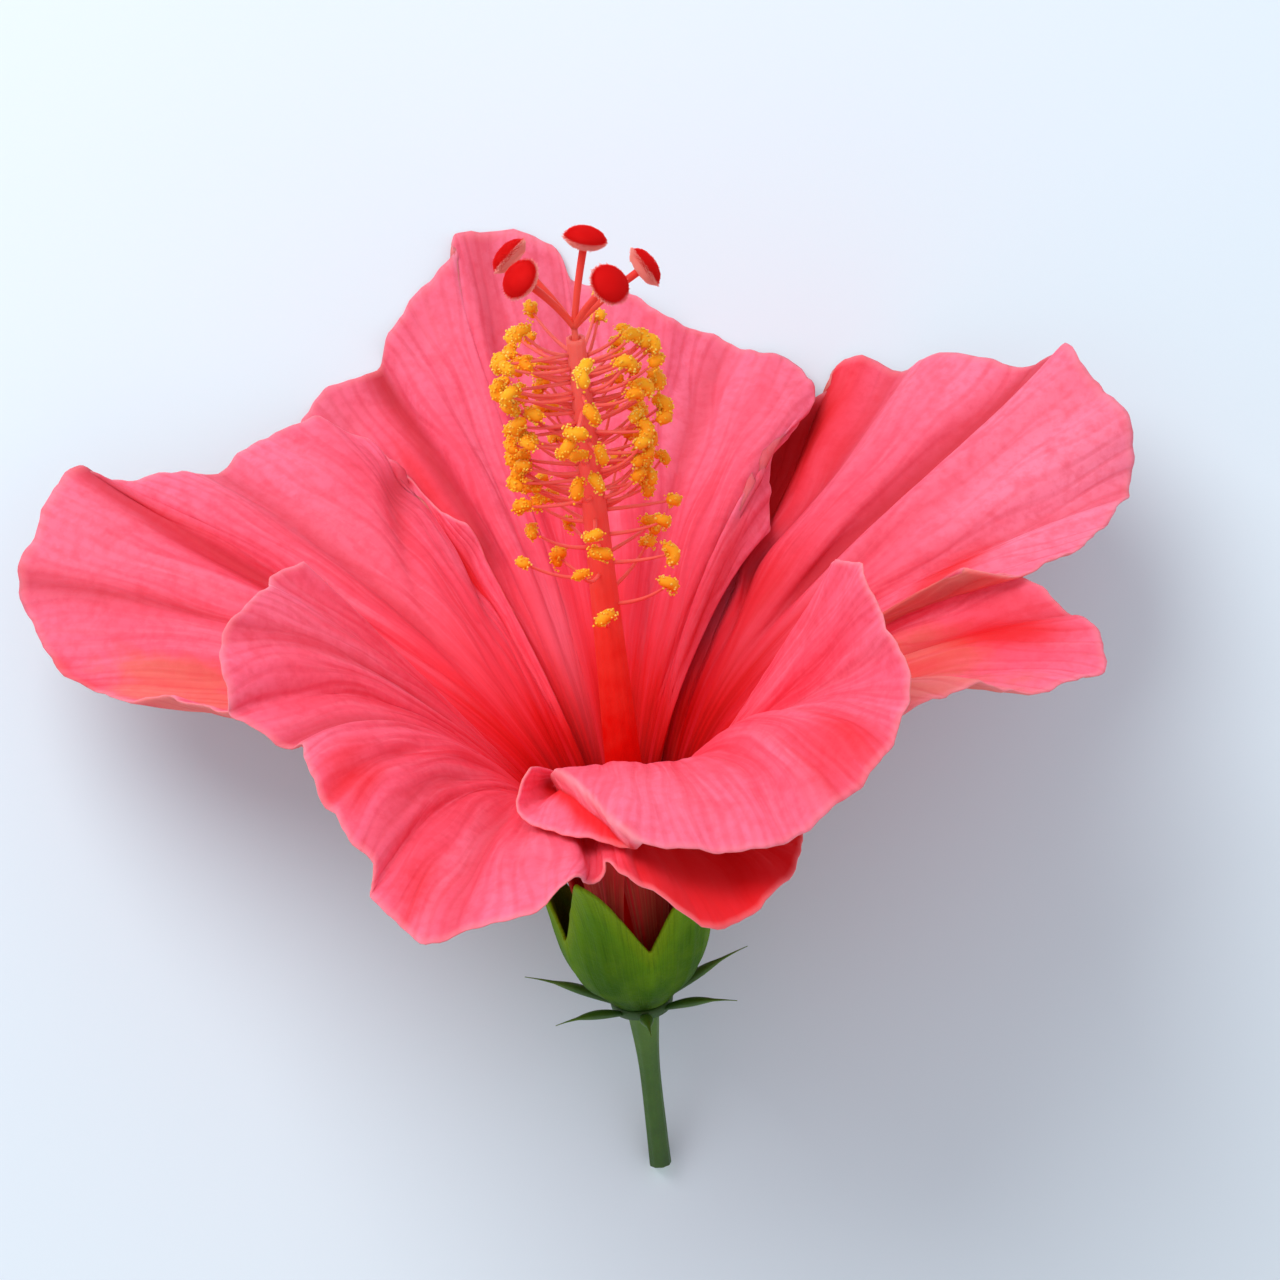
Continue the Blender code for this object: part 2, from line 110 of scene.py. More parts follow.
# Fine petals: points set between those of the CAD grid, thickness at the claw and at the rim, how
# fast the one goes over into the other, and what is left of it at the very edge. Then how high a
# pleat may rise towards an overlapping petal: that much where they are closest, and more by this
# share of the distance beyond it.
FINE_ACROSS = 7
FINE_ALONG = 7
CLAW_THICKNESS = 0.6
RIM_THICKNESS = 0.34
THINNING = (1.6, 0.3)
EDGE_THINNESS = 0.4
PLEAT_ROOM = 0.4
PLEAT_ROOM_GROWTH = 0.7
FAR_AWAY = 8.0
FREE_ROOM = PLEAT_ROOM + PLEAT_ROOM_GROWTH * FAR_AWAY
PLEAT_FADE = 0.25
PATCH_FALL = 0.7

# Veins fork on their way to the rim: how many start in the throat, where each fork begins, how long
# it takes, how far its two halves part, and how unevenly the forks lie. A vein wanders off its ray by
# waves given as (share of the petal's width, turns along, turns across, turns from petal to petal).
VEINS = 9
FORKS = (0.08, 0.34, 0.62)
FORK_LENGTH = 0.3
FORK_SPREAD = 0.25
FORK_JITTER = 0.1
FORK_SCATTER = (7.3, 2.1)
VEIN_WANDER = ((0.006, 9, 31, 1), (0.003, 23, -57, 2))
VEIN_RELIEF = 0.07
VEIN_GROOVE = 0.35

# Each petal: its throat azimuths, layer and rim as in the CAD, and its pleats. A pleat has its share of the
# way across at the throat and at the rim, its height, its half width as a share, and where it begins and
# ends along the blade. A valley has a negative height. Then come its deep red places, which are painted
# shade where folds and overlapping petals shade the blade and light comes through it, its pale places,
# partly a painted highlight where the blade is lit most, and those where it turns its outer side up: middle
# and half width, both as (across, along), and strength.
PETALS = {
    "petal_back": dict(
        throat=(50, 134), layer=(-1, 1),
        rim=((55.6, 34, 40.5, 0), (59.5, 42, 45.5, -5), (59.3, 52, 47.9, 0), (61.1, 54, 49.6, 0),
            (65.4, 56, 49.7, 5), (73.4, 58, 50.5, 10), (77.9, 58.7, 52, 13), (81.6, 59, 55, 18),
            (88.7, 59.5, 57.9, 30), (90.1, 61, 61.2, 45), (94.2, 62, 63.8, 54), (100, 61.2, 65.6, 54),
            (100.8, 60.5, 63, 50), (103, 60.5, 61.1, 42), (106.4, 60.5, 58.5, 28), (109.7, 59, 54.6, 10),
            (112, 57.5, 53, 12), (116, 59.5, 51.5, 14), (122, 58, 48.5, 18), (131, 51, 43, 18),
            (138, 41, 37, 20)),
        pleats=((0.05, 0.05, 0.5, 0.03, 0.3, 0.9), (0.14, 0.12, -0.9, 0.02, 0.25, 0.95),
            (0.24, 0.22, 0.7, 0.03, 0.4, 1.1), (0.30, 0.28, -0.7, 0.022, 0.25, 0.95),
            (0.36, 0.34, 0.8, 0.03, 0.3, 1.1), (0.47, 0.46, -0.6, 0.02, 0.3, 0.95),
            (0.55, 0.535, -0.8, 0.014, 0.45, 1.3), (0.59, 0.59, 0.7, 0.025, 0.3, 1.3),
            (0.66, 0.665, 0.9, 0.03, 0.3, 1.3), (0.72, 0.705, -1.3, 0.016, 0.45, 1.3)),
        red=((0.04, 0.55, 0.04, 0.45, 0.5), (0.76, 0.85, 0.05, 0.2, 0.3), (0.735, 0.68, 0.012, 0.16, 0.5)),
        pale=((0.45, 0.92, 0.12, 0.2, 0.5), (0.12, 0.85, 0.08, 0.2, 0.4), (0.3, 0.75, 0.06, 0.2, 0.5),
            (0.63, 0.27, 0.06, 0.12, 0.4), (0.6, 0.95, 0.08, 0.12, 0.3)),
        turned_out=()),
    "petal_left": dict(
        throat=(116, 204), layer=(-1, 1),
        rim=((115, 31, 46, 35), (117.8, 38, 46.8, 30), (118, 47.7, 49.8, 12), (122.4, 51.3, 52.5, 10),
            (126, 51.9, 52.5, 8), (133.6, 53.6, 52.2, 5), (138.3, 54.6, 51.5, 5), (142.3, 56, 52.5, 8),
            (145.5, 58.4, 52.8, 12), (146.6, 61.3, 54.3, 22), (147.9, 63, 56.1, 30), (151.5, 64.5, 54, 24),
            (156.1, 65.6, 50.4, 12), (158.3, 66, 48.2, 5), (160, 65, 44.5, -5), (162.8, 62, 41.8, -8),
            (166, 58, 39.5, -10), (170, 52.5, 40, 5), (173, 48, 41, 20), (181, 41, 43, 30),
            (192, 36, 44, 20), (202, 32, 42, 10)),
        pleats=((0.29, -0.02, -0.7, 0.02, 0.4, 1.0), (0.46, 0.09, -1.2, 0.022, 0.45, 1.3),
            (0.30, 0.22, 0.8, 0.035, 0.3, 1.1), (0.36, 0.31, -0.7, 0.02, 0.35, 1.1),
            (0.42, 0.37, 0.6, 0.03, 0.4, 1.1), (0.47, 0.44, -1.5, 0.022, 0.5, 1.3),
            (0.52, 0.495, 0.9, 0.03, 0.5, 1.3), (0.57, 0.565, -0.9, 0.018, 0.6, 1.3),
            (0.65, 0.65, 0.5, 0.03, 0.4, 1.1)),
        red=((0.06, 0.7, 0.03, 0.25, 0.7), (0.45, 0.85, 0.05, 0.2, 0.4), (0.67, 1.0, 0.05, 0.05, 0.6)),
        pale=((0.3, 0.7, 0.05, 0.3, 0.35), (0.5, 0.95, 0.08, 0.15, 0.4)),
        turned_out=((0.69, 0.79, 0.035, 0.11, 1.2), (0.73, 0.84, 0.035, 0.11, 1.4))),
    "petal_front_left": dict(
        throat=(186, 274), layer=(-1, 1),
        rim=((189, 29.5, 60.5, 55), (193, 32.5, 61, 50), (197.3, 35, 60.9, 42), (203.8, 38.5, 61.9, 30),
            (207.5, 41.5, 61.3, 18), (210.4, 44, 59.4, 8), (212.2, 44.8, 56.6, 0), (213.5, 44.5, 54.5, 0),
            (219.9, 43, 53.8, 0), (223.9, 42.5, 53.7, 0), (226, 43.7, 52.2, -5), (231.2, 46, 50.7, -8),
            (237, 48.5, 48.9, -10), (240.9, 50, 47.4, -10), (241.4, 52.6, 45, -15), (244.6, 54, 43.8, -15),
            (248.9, 55.5, 42.9, -15), (253.8, 55.3, 44.4, -10), (257.4, 56, 45.5, 0), (261, 55, 46.9, 0),
            (264.5, 52.5, 48, 0), (267.6, 46.4, 46.4, 0), (269.8, 48.5, 46, -8), (272, 50, 43.6, -12),
            (277.9, 52, 40.3, -15), (284.6, 49.5, 40.2, -8), (291, 45.5, 41, 0), (299, 38, 41, 5)),
        pleats=((0.08, 0.06, 0.6, 0.025, 0.4, 1.1), (0.14, 0.13, -0.6, 0.02, 0.4, 1.1),
            (0.22, 0.20, 0.6, 0.03, 0.4, 1.1), (0.27, 0.265, -0.9, 0.02, 0.4, 1.3),
            (0.34, 0.33, 0.6, 0.03, 0.4, 1.1), (0.40, 0.41, -0.7, 0.018, 0.45, 1.1),
            (0.335, 0.345, -0.9, 0.014, 0.6, 1.3), (0.47, 0.475, 0.6, 0.03, 0.4, 1.1),
            (0.53, 0.535, -0.8, 0.018, 0.45, 1.1), (0.60, 0.60, 0.5, 0.03, 0.4, 1.1),
            (0.66, 0.68, -0.9, 0.02, 0.5, 1.3), (0.78, 0.79, 0.8, 0.04, 0.4, 1.3),
            (0.86, 0.87, -0.6, 0.02, 0.5, 1.1)),
        red=((0.87, 0.85, 0.13, 0.4, 1.4), (0.34, 0.9, 0.04, 0.12, 0.6), (0.48, 0.88, 0.05, 0.14, 0.55)),
        pale=(),
        turned_out=()),
    "petal_front_right": dict(
        throat=(256, 338), layer=(-1, -1),
        rim=((257, 31, 47.4, 28), (255.2, 36, 46.4, 10), (258.3, 39, 46.6, -10), (263, 42, 47, -25),
            (267, 44, 47.1, -32), (270.9, 46, 47.3, -38), (275.5, 47, 46.7, -40), (281, 48, 46.1, -42),
            (285, 48.5, 45.8, -42), (288.8, 49, 46, -40), (291.4, 50, 47.4, -38), (294.2, 51, 50, -34),
            (296.5, 52, 51.8, -28), (299.8, 52, 53.4, -16), (302.5, 51, 55.1, 0), (305.5, 50, 57, 18),
            (307.2, 48, 59.5, 33), (310, 43, 62.5, 50), (314, 37, 65, 60), (322, 30, 61, 60)),
        pleats=((0.40, 0.40, 0.3, 0.03, 0.5, 1.1), (0.52, 0.52, -0.35, 0.02, 0.6, 1.1),
            (0.62, 0.62, -0.5, 0.02, 0.5, 1.1), (0.68, 0.69, 0.4, 0.03, 0.5, 1.1),
            (0.76, 0.76, -0.4, 0.018, 0.5, 1.1), (0.84, 0.84, 0.4, 0.03, 0.5, 1.1)),
        red=((0.57, 0.9, 0.08, 0.14, 0.62),),
        pale=((0.3, 0.85, 0.08, 0.12, 0.3),),
        turned_out=()),
    "petal_right": dict(
        throat=(-34, 60), layer=(1, 1),
        rim=((-52, 38, 46, 10), (-43, 42, 49.5, 5), (-33, 43.5, 48, 0), (-24, 46, 44, -5),
            (-13.4, 52.5, 41.5, -10), (-8.4, 51.8, 42, -8), (-3.9, 50.6, 42.7, -5), (1.4, 48, 43, 0),
            (5, 45, 44.5, 8), (3, 38.5, 47.6, 20), (3.6, 42.3, 46, 10), (7.7, 48.7, 44.5, 3),
            (11.8, 52.8, 44, 0), (15, 57, 44, -3), (21.8, 63.5, 45, 5), (23.7, 65, 48.7, 12),
            (29.8, 65, 52.4, 25), (34.5, 65, 55.2, 30), (38.2, 63.5, 51.8, 17), (41, 62, 52, 15),
            (46.7, 61, 51.1, 18), (52.8, 60, 49.4, 22), (58.5, 59.5, 49.6, 35), (60.5, 58, 46, 40),
            (63, 55, 44.5, 34), (69, 47, 41.5, 28), (74, 37, 38, 25)),
        pleats=((0.24, 0.24, 0.5, 0.015, 0.5, 1.1), (0.28, 0.28, -0.8, 0.014, 0.5, 1.1),
            (0.50, 0.49, 0.5, 0.02, 0.6, 1.1), (0.54, 0.535, -0.6, 0.014, 0.6, 1.1),
            (0.60, 0.59, 0.4, 0.02, 0.5, 1.1), (0.66, 0.64, 0.9, 0.022, 0.4, 1.3),
            (0.70, 0.675, -1.4, 0.018, 0.35, 1.3), (0.76, 0.745, 0.7, 0.02, 0.3, 1.1),
            (0.80, 0.79, -0.8, 0.015, 0.3, 1.1), (0.86, 0.85, 0.6, 0.02, 0.3, 1.0)),
        red=((0.86, 0.8, 0.06, 0.26, 0.95), (0.95, 0.6, 0.05, 0.3, 0.6), (0.38, 0.86, 0.025, 0.14, 0.9),
            (0.26, 0.8, 0.035, 0.14, 0.8), (0.3, 0.9, 0.05, 0.15, 0.4), (0.51, 0.66, 0.04, 0.09, 0.8),
            (0.76, 0.4, 0.06, 0.16, 0.55)),
        # The first pale patch here is a painted highlight on the lit limb.
        pale=((0.56, 0.85, 0.1, 0.25, 0.95), (0.72, 0.95, 0.05, 0.12, 0.4)),
        turned_out=((0.09, 0.75, 0.07, 0.26, 1.4), (0.25, 0.62, 0.06, 0.12, 1.3))),
}
PETAL_PAIRS = (
    ("petal_back", "petal_right"),
    ("petal_front_right", "petal_right"),
    ("petal_front_right", "petal_front_left"),
    ("petal_front_left", "petal_left"),
    ("petal_left", "petal_back"),
)

# Colours of the petals from the claw, through the throat at 0, to the rim at 1, and the tints that go over
# them, in this order. Of the tints, the valley one is painted shade in the folds, the red one painted shade
# where folds and overlapping petals shade the blade and light comes through it, the edge one a painted
# highlight along the thin margins and the lip's edge, and the pale one partly a painted highlight.
INNER_COLOURS = (
    (-0.2, (146, 0, 0)), (0.0, (176, 0, 0)), (0.08, (202, 1, 2)), (0.16, (226, 16, 24)),
    (0.28, (242, 50, 68)), (0.5, (247, 72, 96)), (0.8, (251, 92, 120)), (1.0, (254, 110, 142)),
)
OUTER_COLOURS = (
    (-0.4, (204, 116, 84)), (-0.15, (184, 44, 38)), (0.1, (190, 42, 40)), (0.4, (216, 82, 76)),
    (0.75, (224, 104, 94)), (1.0, (236, 118, 108)),
)
PETAL_TINTS = {
    "flushed": (226, 26, 44), "pale": (255, 132, 162), "vein": (210, 22, 44), "light": (255, 122, 148),
    "speck": (226, 44, 70), "dusky": (224, 56, 78), "valley_shade": (190, 44, 58), "red": (228, 18, 18),
    "edge": (255, 150, 160),
}

# Finishes of the middle: colours by tone, roughness, scale of the grain and its depth in metres, and
# how uneven the tone is.
COLUMN_FINISH = (((0.3, (216, 4, 0)), (0.42, (232, 16, 8)), (0.58, (246, 68, 56)), (0.75, (249, 94, 84)),
                  (1.0, (251, 112, 102))), 0.5, 1500.0, 0.00006, 0.1)
ANTHER_FINISH = (((0.0, (252, 148, 12)), (0.4, (255, 178, 30)), (0.8, (255, 194, 56)),
                  (1.0, (255, 214, 98))), 0.6, 4000.0, 0.00004, 0.15)
BRANCH_FINISH = (((0.0, (244, 96, 80)), (0.7, (238, 70, 60)), (1.0, (226, 40, 34))),
                 0.45, 1500.0, 0.00005, 0.1)
STIGMA_FINISH = (((0.0, (255, 160, 150)), (0.4, (255, 150, 146)), (0.8, (232, 16, 14)),
                  (1.0, (228, 2, 3))), 0.75, 3000.0, 0.00005, 0.04)

# Greens and the floor.
CALYX_COLOURS = ((0.0, (44, 80, 0)), (0.35, (64, 104, 0)), (0.75, (92, 134, 0)), (1.0, (126, 154, 8)))
CALYX_LINES = (44, 84, 0)
CALYX_CLOUDS = (118, 152, 10)
STALK_COLOURS = ((0.0, (44, 78, 16)), (0.5, (62, 100, 20)), (1.0, (90, 126, 34)))
STALK_CUT = (196, 206, 140)
FLOOR_COLOURS = ((0.3, (221, 234, 246)), (0.7, (224, 237, 249)))

# Small waves of every petal: faint pleats placed at random, the ruffle and scallops of the rim as
# (height, length of one wave, phase), each shifted from petal to petal, and a crinkle whose two waves
# have their turns across and along.
PETAL_SEED = 100
FAINT_PLEATS = 22
FAINT_DRIFT = 0.02
FAINT_HEIGHT = (-0.22, 0.22)
FAINT_WIDTH = (0.008, 0.02)
FAINT_START = (0.1, 0.6)
FAINT_END = (0.8, 1.4)
RUFFLE = ((0.34, 14.0, 0.6), (0.18, 7.1, 2.1), (0.07, 3.3, 4.0))
RUFFLE_FROM = 0.72
RUFFLE_SHIFT = 17
SCALLOPS = ((0.2, 12.0, 1.0), (0.12, 5.3, 2.4), (0.07, 2.4, 0.3))
SCALLOPS_FROM = 0.88
SCALLOPS_SHIFT = 29
CRINKLE = 0.04
CRINKLE_WAVES = ((1.9, 31), (0.7, 47))

# A valley gets painted shade, a dusky red deeper than what stands round it: how deep it is where that shade
# is full. The last of a blade gets a painted highlight, standing for light through its thin margin: by this
# much and on this share of it.
VALLEY_SHADE_DEPTH = 1.1
RIM_HIGHLIGHT = 0.4
RIM_HIGHLIGHT_SHARE = 0.03

# The front right petal's ear: left of a slanting line the blade sinks behind the lit lip and gets painted
# shade. The lip's edge has a painted highlight: its strength, its place off that line and its half width.
EAR_LINE = (-0.34, 0.26)
EAR_WIDTH = 0.012
EAR_DEPTH = 1.5
EAR_FROM = 0.5
EAR_FADE = 0.25
EAR_SHADE = 0.07
EAR_SHADE_END = 0.2
LIP_RISE = 1.1
LIP_FALL = 0.08
LIP_HIGHLIGHT = (0.8, 0.7, 0.6)

# Staminal column, as in the CAD, and what the fine one adds.
COLUMN_TOP = 80.0
COLUMN_OUTER = ((3.5, 3.2), (3.4, 6.5), (2.3, 10.5), (1.8, 14.0), (1.75, 30.0), (1.6, 45.0),
                (1.25, 65.0), (1.0, COLUMN_TOP))
BORE_RADIUS = 0.65
BORE_DEPTH = 3.0
COLUMN_LEAN = 0.9
COLUMN_SIDES = 40
COLUMN_ROWS = 150
COLUMN_FLARE = 0.3
COLUMN_FLARE_HEIGHT = 26.0
COLUMN_FLARE_LENGTH = 14.0
COLUMN_FLUTES = 10
FLUTE_DEPTH = 0.07

# Stamens as (bands round the column, stamens in a band, seed, lowest, crowding towards the top, azimuth
# of the first band, spread of a band, reach): those of the CAD and extra ones on both sides.
STAMENS = (5, 13, 11, 46.0, 0.6, -90, 16.0, (5.6, 8.4))
EXTRA_STAMENS = (2, 22, 23, 60.0, 1.0, 0, 26.0, (5.0, 8.2))
STAMEN_HIGHEST = 78.5
STAMEN_RISE = (0.4, 4.0)
FILAMENT_ROOT = 0.9
FILAMENT_RADII = (0.24, 0.13)
FILAMENT_BEND = (0.62, 0.12)
FILAMENT_STEPS = 9
FILAMENT_SIDES = 7
FILAMENT_TONE = 0.25

# An anther: an arched and slightly twisted bag, in a few shapes, with pollen grains on it.
ANTHER_ARC = math.radians(105)
ANTHER_RADIUS = 0.62
ANTHER_DROP = 0.4
ANTHER_TWIST = 0.08
ANTHER_TUBE = 0.5
ANTHER_BLUNTNESS = 1.06
ANTHER_STEPS = 11
ANTHER_SIDES = 9
ANTHER_TONE = 0.25
ANTHER_SHAPES = 5
ANTHER_SIZES = (0.95, 1.3)
ANTHER_SHADES = (-0.25, 0.15)
ANTHER_SEED = 5
POLLEN_GRAINS = 56
POLLEN_RADIUS = 0.11
POLLEN_RISE = 0.3
POLLEN_SIZES = (0.8, 1.2)
POLLEN_TONES = (0.6, 1.0)

# Pistil, as in the CAD, with the down of its stigmas: short hairs in a spiral from the top to near the
# underside, longer near the rim.
STYLE_HEIGHTS = (COLUMN_TOP - 6, COLUMN_TOP - 2, 81.8)
STYLE_RADIUS = 0.33
STYLE_SIDES = 14
STIGMAS = ((2.1, 0.6, 90.6), (-4.8, -3.0, 88.6), (-5.7, 3.2, 88.4), (4.0, -4.0, 87.4), (7.8, 2.2, 86.0))
BRANCH_RADII = (0.34, 0.42)
BRANCH_SINK = 0.6
BRANCH_BEND = Vector((0.35, 0.35, 0.5))
BRANCH_STEPS = 15
BRANCH_SIDES = 12
STIGMA_FACE = (1.95, 1.05)
STIGMA_SIDES = 40
STIGMA_RINGS = 19
STIGMA_SEED = 31
PAPILLAE = 1100
PAPILLAE_SPAN = 1.75
PAPILLA_SWAY = 0.25
PAPILLA_LENGTH = 0.15
PAPILLA_LENGTHS = (0.7, 1.2)
PAPILLA_ROOT = 0.05
PAPILLA_RADII = (0.05, 0.05, 0.025)
PAPILLA_SIDES = 4
LONG_PAPILLAE = (1.6, -0.05, 0.18)

# Calyx, bracts and stalk, as in the CAD. A rib of the calyx has its place from the middle of a lobe to
# the gap beside it, half width and height. A bract has its radius at the root, what it gains towards
# its middle and what it loses towards its tip.
CALYX_FLOOR = 1.8
CALYX_THICKNESS = 0.8
CALYX_THINNING = 0.55
CALYX_THIN_FROM = 0.75
CALYX_HOLE = 0.02
CALYX_STEPS = 20
CALYX_RADII = (3.4, 5.9, 7.3, 8.0, 8.5, 9.3, 10.6, 12.4)
CALYX_SINUS = 11.5
CALYX_TIP = 22.9
CALYX_LOBE_AZIMUTH = 28.0
CALYX_LOBE_TAPER = 1.2
CALYX_LOBES = 5
CALYX_SIDES = 200
CALYX_ROWS = 46
CALYX_RIB = 0.22
CALYX_RIBS = ((0.0, 0.07, 1.0), (1.0, 0.09, 0.7), (0.45, 0.06, 0.5))
BRACT_COUNT = 7
BRACT_TURN = 0.3
BRACT_LENGTH = 9.5
BRACT_RISE = math.tan(math.radians(24.0))
BRACT_DROOP = 0.8
BRACT_ROOT = (2.95, 0.4)
BRACT_RING = ((2.5, 0.1), (3.3, 0.1), (3.4, 0.7), (3.2, 1.1), (2.5, 1.1), (2.5, 0.1))
BRACT_RING_SIDES = 42
BRACT_STEPS = 26
BRACT_SIDES = 12
BRACT_RADII = (0.42, 0.33, 0.36)
BRACT_FLATNESS = 0.62
STALK_PATH = ((0.0, -1.3, -19.75), (0.0, -0.9, -16.0), (0.0, -0.2, -8.0), (0.0, 0.0, -2.2), (0.0, 0.0, 1.1))
STALK_RADII = (1.2, 1.15, 1.15, 1.6, 2.1)
STALK_SIDES = 36
STALK_STEPS = 17
STALK_RIDGES = 9
STALK_RIDGE = 0.035
STALK_GROOVE = 0.02


def srgb(red, green, blue):
    """The colour that looks like these 0 to 255 values on a screen."""
    values = [value / 255 for value in (red, green, blue)]
    linear = [value / 12.92 if value <= 0.04045 else ((value + 0.055) / 1.055) ** 2.4 for value in values]
    return (*linear, 1.0)


def smooth_step(values):
    """Goes smoothly from 0 to 1 while the values, of an array or of a node, do."""
    if isinstance(values, Value):
        return values.step(0.0, 1.0)
    values = np.clip(values, 0.0, 1.0)
    return values * values * (3 - 2 * values)


def bell(offset):
    """A hump that is 1 in its middle and fades out on both sides."""
    return np.exp(-offset ** 2)


def to_world(points):
    """Points of the flower's frame, in millimetres, where the flower lies, in metres."""
    return (points @ REST_TURN.T + np.array(CALYX_BASE)) * MM


def leaned(points):
    """Points in the throat, bent a little to the right above their base."""
    points = np.array(points, float)
    points[..., 0] += COLUMN_LEAN * smooth_step(points[..., 2] / THROAT_HEIGHT)
    return points


def polar(azimuth, reach, height):
    return Vector((reach * math.cos(azimuth), reach * math.sin(azimuth), height))


def spline(a, b, c, d, t):
    """A place from b to c on the smooth curve through four points."""
    return 0.5 * (2 * b + (c - a) * t + (2 * a - 5 * b + 4 * c - d) * t * t
                  + (3 * b - a - 3 * c + d) * t ** 3)


def hermite(start, start_pull, end, end_pull, t):
    """A place on a curve that leaves its start and reaches its end along these pulls."""
    return (start * (2 * t ** 3 - 3 * t * t + 1) + start_pull * (t ** 3 - 2 * t * t + t)
            + end * (3 * t * t - 2 * t ** 3) + end_pull * (t ** 3 - t * t))


def resampled(points, steps, axis=0):
    """A grid with more points along one axis, on smooth curves through the ones it has."""
    points = np.moveaxis(np.asarray(points, float), axis, 0)
    position = np.arange((len(points) - 1) * steps + 1) / steps
    span = np.minimum(position.astype(int), len(points) - 2)
    t = (position - span).reshape(-1, *[1] * (points.ndim - 1))
    before = np.maximum(span - 1, 0)
    after = np.minimum(span + 2, len(points) - 1)
    return np.moveaxis(spline(points[before], points[span], points[span + 1], points[after], t), 0, axis)


def finer(grid):
    """A petal's grid with more points across and along it."""
    return resampled(resampled(grid, FINE_ACROSS, 0), FINE_ALONG, 1)


# The petals' middle surfaces as the CAD has them.


def rim_samples(petal):
    """Points, slopes and share of the way along the rim, and the rim's length."""
    stations = [Vector((*polar(math.radians(azimuth), reach, height), slope))
                for azimuth, reach, height, slope in petal["rim"]]
    samples = []
    for i, (here, there) in enumerate(zip(stations, stations[1:])):
        steps = max(1, round((there - here).xyz.length / RIM_STEP))
        before = stations[max(i - 1, 0)]
        after = stations[min(i + 2, len(stations) - 1)]
        samples += [spline(before, here, there, after, i + step / steps - i) for step in range(steps)]
    samples.append(stations[-1])
    rim = [sample.xyz for sample in samples]
    length = np.cumsum([0.0] + [(there - here).length for here, there in zip(rim, rim[1:])])
    return rim, [math.radians(sample.w) for sample in samples], length / length[-1], length[-1]


def petal_ray(petal, tip, tip_slope, share):
    """One line of points from the claw to the rim."""
    first, last = (math.radians(azimuth) for azimuth in petal["throat"])
    azimuth = first + (last - first) * share
    middle = (first + last) / 2
    layer = LAYER_STEP * (petal["layer"][0] * (1 - share) + petal["layer"][1] * share)
    claw = polar(middle + (azimuth - middle) * CLAW_SHARE, CLAW_RADIUS, CLAW_HEIGHT)
    throat = polar(azimuth, THROAT_RADIUS + layer, THROAT_HEIGHT)
    outward = Vector((tip.x - throat.x, tip.y - throat.y, 0)).normalized()
    flare = (polar(azimuth, 1, 0) + outward).normalized()
    throat_way = flare * math.cos(THROAT_SLOPE) + UP * math.sin(THROAT_SLOPE)
    tip_way = outward * math.cos(tip_slope) + UP * math.sin(tip_slope)
    tube_pull = (throat - claw).length
    blade_pull = (tip - throat).length
    tube = [hermite(claw, UP * tube_pull, throat, throat_way * tube_pull * TUBE_PULL, i / THROAT_ROWS)
            for i in range(THROAT_ROWS)]
    blade = [hermite(throat, throat_way * blade_pull * BLADE_PULL, tip, tip_way * blade_pull, i / BLADE_ROWS)
             for i in range(BLADE_ROWS + 1)]
    return tube + blade


def grid_faces(across, along):
    """Triangles over a grid of points that face its outer side, every square cut the same way."""
    index = np.arange(across * along).reshape(across, along)
    a = index[:-1, :-1].ravel()
    b = index[1:, :-1].ravel()
    return np.concatenate([np.stack((a, b, b + 1), 1), np.stack((a, b + 1, a + 1), 1)])


def surface_tree(grid):
    """A search tree over a grid whose faces point to the petal's inner side."""
    faces = grid_faces(*grid.shape[:2])[:, ::-1]
    return BVHTree.FromPolygons(grid.reshape(-1, 3).tolist(), faces.tolist())


def smoothed(field):
    """Each vector averaged with its neighbours in the grid."""
    total = field * 2
    weight = np.full(field.shape[:2] + (1,), 2.0)
    for axis in (0, 1):
        values, sums, weights = (np.moveaxis(array, axis, 0) for array in (field, total, weight))
        sums[1:] += values[:-1]
        sums[:-1] += values[1:]
        weights[1:] += 1
        weights[:-1] += 1
    return total / weight


def tuck_under(lower, upper):
    """Sinks the lower petal where the upper one overlaps it, until it clears."""
    tree = surface_tree(upper)
    for _ in range(TUCK_ROUNDS):
        push = np.zeros_like(lower)
        for i, j in np.ndindex(lower.shape[0], lower.shape[1] - TUCK_FROM_ROW):
            spot = i, j + TUCK_FROM_ROW
            near, normal = tree.find_nearest(lower[spot], GAP_REACH)[:2]
            if near is None:
                continue
            away = Vector(lower[spot]) - near
            height = away.dot(normal)
            aside = (away - normal * height).length
            if height >= -PETAL_GAP and aside <= EDGE_REACH:
                push[spot] = normal * (-(height + PETAL_GAP) * (1 - aside / EDGE_REACH))
        lower += smoothed(push)


def flatten_on_floor(grid, thickness):
    """Presses what would reach under the surface onto it."""
    rest = grid @ REST_TURN.T
    rest[..., 2] = np.maximum(rest[..., 2], thickness / 2 - CALYX_BASE.z)
    grid[:] = rest @ REST_TURN


def cad_petals():
    """The middle surface of every petal as the CAD has it."""
    grids = {}
    for name, petal in PETALS.items():
        rim, slopes, petal["shares"], petal["length"] = rim_samples(petal)
        rays = [petal_ray(petal, *sample) for sample in zip(rim, slopes, petal["shares"])]
        grids[name] = np.array([[list(point) for point in ray] for ray in rays])
    for upper, lower in PETAL_PAIRS:
        tuck_under(grids[lower], grids[upper])
    for grid in grids.values():
        flatten_on_floor(grid, CAD_THICKNESS)
    return grids


# Fine petals.


def surface_normals(grid):
    """Normals to the inner side of a petal."""
    normal = np.cross(np.gradient(grid, axis=1), np.gradient(grid, axis=0))
    return normal / np.linalg.norm(normal, axis=2, keepdims=True)


def pleat(share, along, line):
    at_throat, at_rim, height, width, start, end = line
    aside = (share - at_throat - (at_rim - at_throat) * along) / width
    fade = smooth_step((along - start) / PLEAT_FADE + 0.5) * smooth_step((end - along) / PLEAT_FADE + 0.5)
    return height * bell(aside) * fade


